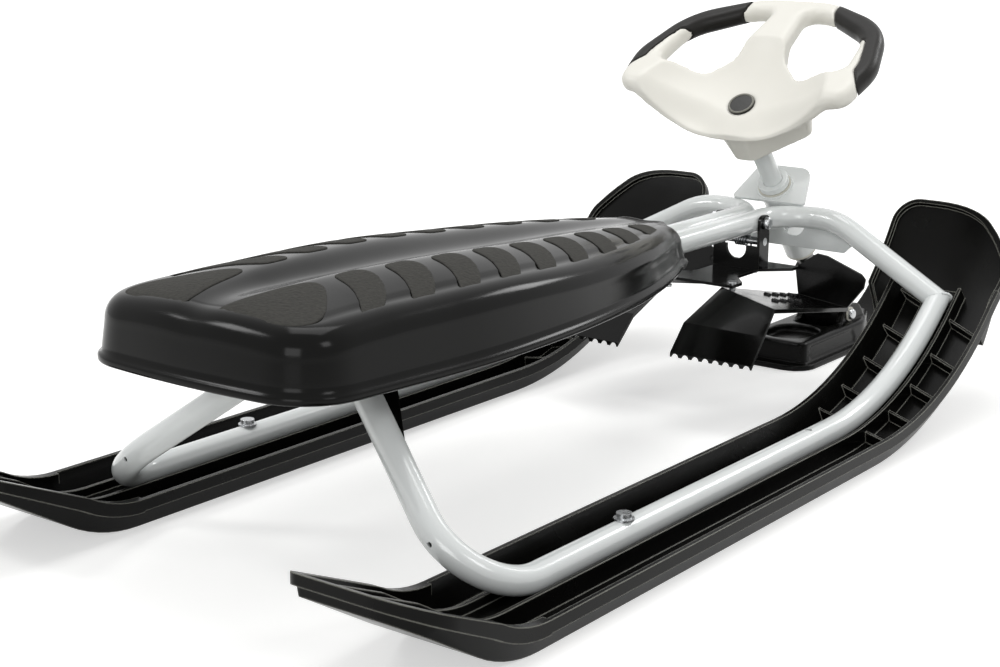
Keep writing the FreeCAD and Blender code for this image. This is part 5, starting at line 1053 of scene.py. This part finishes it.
SUB_ASSEMBLIES = (
    TubeFrame("frame", {
        WHITE_POWDER_COAT: ("left_main_tube", "right_main_tube", "left_runner_tube", "right_runner_tube",
                            "head_tube", "head_plate", "head_gusset"),
        BLACK_POWDER_COAT: ("seat_front_bracket", "seat_rear_bracket"),
        NATURAL_NYLON: ("lower_head_bush", "upper_head_bush"),
    }),
    SkiPair("frame", {
        BLACK_POLYETHYLENE: ("left_ski", "right_ski"),
        BRIGHT_ZINC: ("ski_bolts", "ski_nuts", "ski_front_screws"),
    }),
    Seat("frame", {
        GLOSS_POLYPROPYLENE: ("seat_shell", "left_leg_gusset", "right_leg_gusset"),
        GRIP_PAD_RUBBER: ("seat_grip_pads",),
        BRIGHT_ZINC: ("seat_screws",),
    }),
    SteeringWheel("steering", {
        WHITE_POWDER_COAT: ("steering_column",),
        WARM_WHITE_ABS: ("steering_wheel",),
        SOFT_GRIP_RUBBER: ("left_wheel_grip", "right_wheel_grip"),
        DARK_CAP_ABS: ("hub_cap",),
        BRIGHT_ZINC: ("wheel_bolt", "column_collar"),
    }),
    FrontSki("front_ski", {
        TURNED_ALUMINIUM: ("stem_cone",),
        GLASS_FILLED_NYLON: ("ski_stem",),
        BLACK_POLYETHYLENE: ("front_ski",),
        NATURAL_NYLON: ("front_ski_bushes",),
        BRIGHT_ZINC: ("axle_bolt", "axle_nut"),
    }),
    FootBrake("brake", {
        BLACK_POWDER_COAT: ("brake_hanger", "brake_bridge", "left_brake_plate", "right_brake_plate",
                            "brake_studs"),
        BRIGHT_ZINC: ("brake_pivot_bolt", "brake_pivot_nut", "brake_rivets", "brake_spring_pin"),
        DRAWN_WIRE: ("brake_spring",),
    }),
)


@dataclass(frozen=True)
class SoftBox:
    """Square soft lamp that faces a point; sizes in metres, power in watts."""

    name: str
    place: tuple[float, float, float]
    aim: tuple[float, float, float]
    side: float
    power: float

    def hang(self) -> None:
        """Adds the lamp to the scene."""
        data = bpy.data.lights.new(self.name, "AREA")
        data.shape = "SQUARE"
        data.size = self.side
        data.energy = self.power
        lamp = bpy.data.objects.new(self.name, data)
        turn = (Vector(self.place) - Vector(self.aim)).to_track_quat("Z", "Y")
        lamp.matrix_world = Matrix.Translation(self.place) @ turn.to_matrix().to_4x4()
        bpy.context.scene.collection.objects.link(lamp)


SOFT_BOXES = (
    SoftBox("overhead_soft_box", (-0.2, 0.3, 2.3), (0, 0, 0), 1.4, 19),
    SoftBox("left_soft_box", (-1.3, -1.4, 1.75), (0, 0, 0.15), 0.5, 10),
    SoftBox("right_soft_box", (2.2, -0.3, 1.8), (0, 0, 0.15), 0.7, 9),
    SoftBox("camera_soft_box", (1.0, -2.6, 0.9), (0, 0, 0.2), 1.2, 17),
    SoftBox("ahead_soft_box", (0.75, 2.3, 1.75), (0, -0.2, 0.2), 0.6, 11),
)


@dataclass
class Studio:
    """Pale floor, soft lamps and a white surround; sizes in metres."""

    floor_half: float = 12.0
    floor_colour: str = "#E4E4E2"
    near_glow: float = 0.5
    near: float = 0.7
    far: float = 2.2
    sky_light: float = 0.45

    def surround_share(self, tree: bpy.types.NodeTree) -> bpy.types.NodeSocket:
        """Builds the share of rays that see the surround: from the camera, reflected or through glass.

        Args:
            tree: the node tree of the floor or the world.

        Returns:
            The socket of the share, 0 or 1.
        """
        path = add_node(tree, "ShaderNodeLightPath").outputs
        opaque = add_node(tree, "ShaderNodeMath", {0: path["Is Camera Ray"], 1: path["Is Glossy Ray"]},
                          operation="MAXIMUM")
        every = add_node(tree, "ShaderNodeMath", {0: opaque.outputs[0], 1: path["Is Transmission Ray"]},
                         operation="MAXIMUM")
        return every.outputs[0]

    def build_world(self) -> None:
        """Makes the world white to the eye and soft as a light."""
        world = bpy.data.worlds.new("studio_surround")
        bpy.context.scene.world = world
        world.use_nodes = True
        tree = world.node_tree
        tree.nodes.clear()
        share = self.surround_share(tree)
        strength = add_node(tree, "ShaderNodeMapRange",
                            {"Value": share, "To Min": self.sky_light, "To Max": 1.0})
        sky = add_node(tree, "ShaderNodeBackground", {"Color": WHITE, "Strength": strength.outputs[0]})
        add_node(tree, "ShaderNodeOutputWorld", {"Surface": sky.outputs[0]})

    def build_floor(self) -> None:
        """Lays the floor just under the skis."""
        half = self.floor_half
        mesh = bpy.data.meshes.new("studio_floor")
        mesh.from_pydata([(-half, -half, 0), (half, -half, 0), (half, half, 0), (-half, half, 0)], [],
                         [(0, 1, 2, 3)])
        floor = bpy.data.objects.new("studio_floor", mesh)
        bpy.context.scene.collection.objects.link(floor)
        material = bpy.data.materials.new("studio_floor_paper")
        material.use_nodes = True
        tree = material.node_tree
        tree.nodes.clear()
        paper = add_node(tree, "ShaderNodeBsdfDiffuse", {"Color": linear(self.floor_colour)})
        share = self.surround_share(tree)
        place = add_node(tree, "ShaderNodeTexCoord").outputs["Object"]
        away = add_node(tree, "ShaderNodeVectorMath", {0: place}, operation="LENGTH")
        rising = add_node(tree, "ShaderNodeMapRange",
                          {"Value": away.outputs["Value"], "From Min": self.near, "From Max": self.far,
                           "To Min": self.near_glow, "To Max": 1.0})
        glow_level = add_node(tree, "ShaderNodeMath", {0: share, 1: rising.outputs[0]}, operation="MULTIPLY")
        glow = add_node(tree, "ShaderNodeEmission", {"Color": WHITE, "Strength": glow_level.outputs[0]})
        both = add_node(tree, "ShaderNodeAddShader", {0: paper.outputs[0], 1: glow.outputs[0]})
        add_node(tree, "ShaderNodeOutputMaterial", {"Surface": both.outputs[0]})
        mesh.materials.append(material)

    def build(self) -> None:
        """Sets up the floor, the surround and the lamps."""
        self.build_world()
        self.build_floor()
        for lamp in SOFT_BOXES:
            lamp.hang()
        bpy.context.scene.view_settings.view_transform = "Standard"


@dataclass
class PhotoCamera:
    """Camera at the photograph's view; angles in degrees, place in metres, lens in millimetres."""

    place: tuple[float, float, float] = (0.899198, -1.363398, 0.499942)
    azimuth: float = 36.923
    elevation: float = 14.008
    roll: float = 0.403
    lens: float = 66.278
    sensor: float = 36.0
    clip: tuple[float, float] = (0.05, 50.0)

    def build(self) -> None:
        """Creates the camera and makes it the scene's camera."""
        turn = math.radians(self.azimuth)
        lift = math.radians(self.elevation)
        back = Vector((math.sin(turn) * math.cos(lift), -math.cos(turn) * math.cos(lift), math.sin(lift)))
        level = Vector((math.cos(turn), math.sin(turn), 0))
        above = back.cross(level)
        tilt = math.radians(self.roll)
        right = level * math.cos(tilt) + above * math.sin(tilt)
        up = above * math.cos(tilt) - level * math.sin(tilt)
        data = bpy.data.cameras.new("photo_camera")
        data.sensor_fit = "HORIZONTAL"
        data.sensor_width = self.sensor
        data.lens = self.lens
        data.clip_start, data.clip_end = self.clip
        camera = bpy.data.objects.new("photo_camera", data)
        camera.matrix_world = Matrix.Translation(self.place) @ Matrix((right, up, back)).transposed().to_4x4()
        bpy.context.scene.collection.objects.link(camera)
        bpy.context.scene.camera = camera


def main() -> None:
    """Builds the scene in order and reports each piece."""
    logging.basicConfig(level=logging.INFO)
    for part in SUB_ASSEMBLIES:
        part.build()
    Studio().build()
    PhotoCamera().build()


if __name__ == "__main__":
    main()
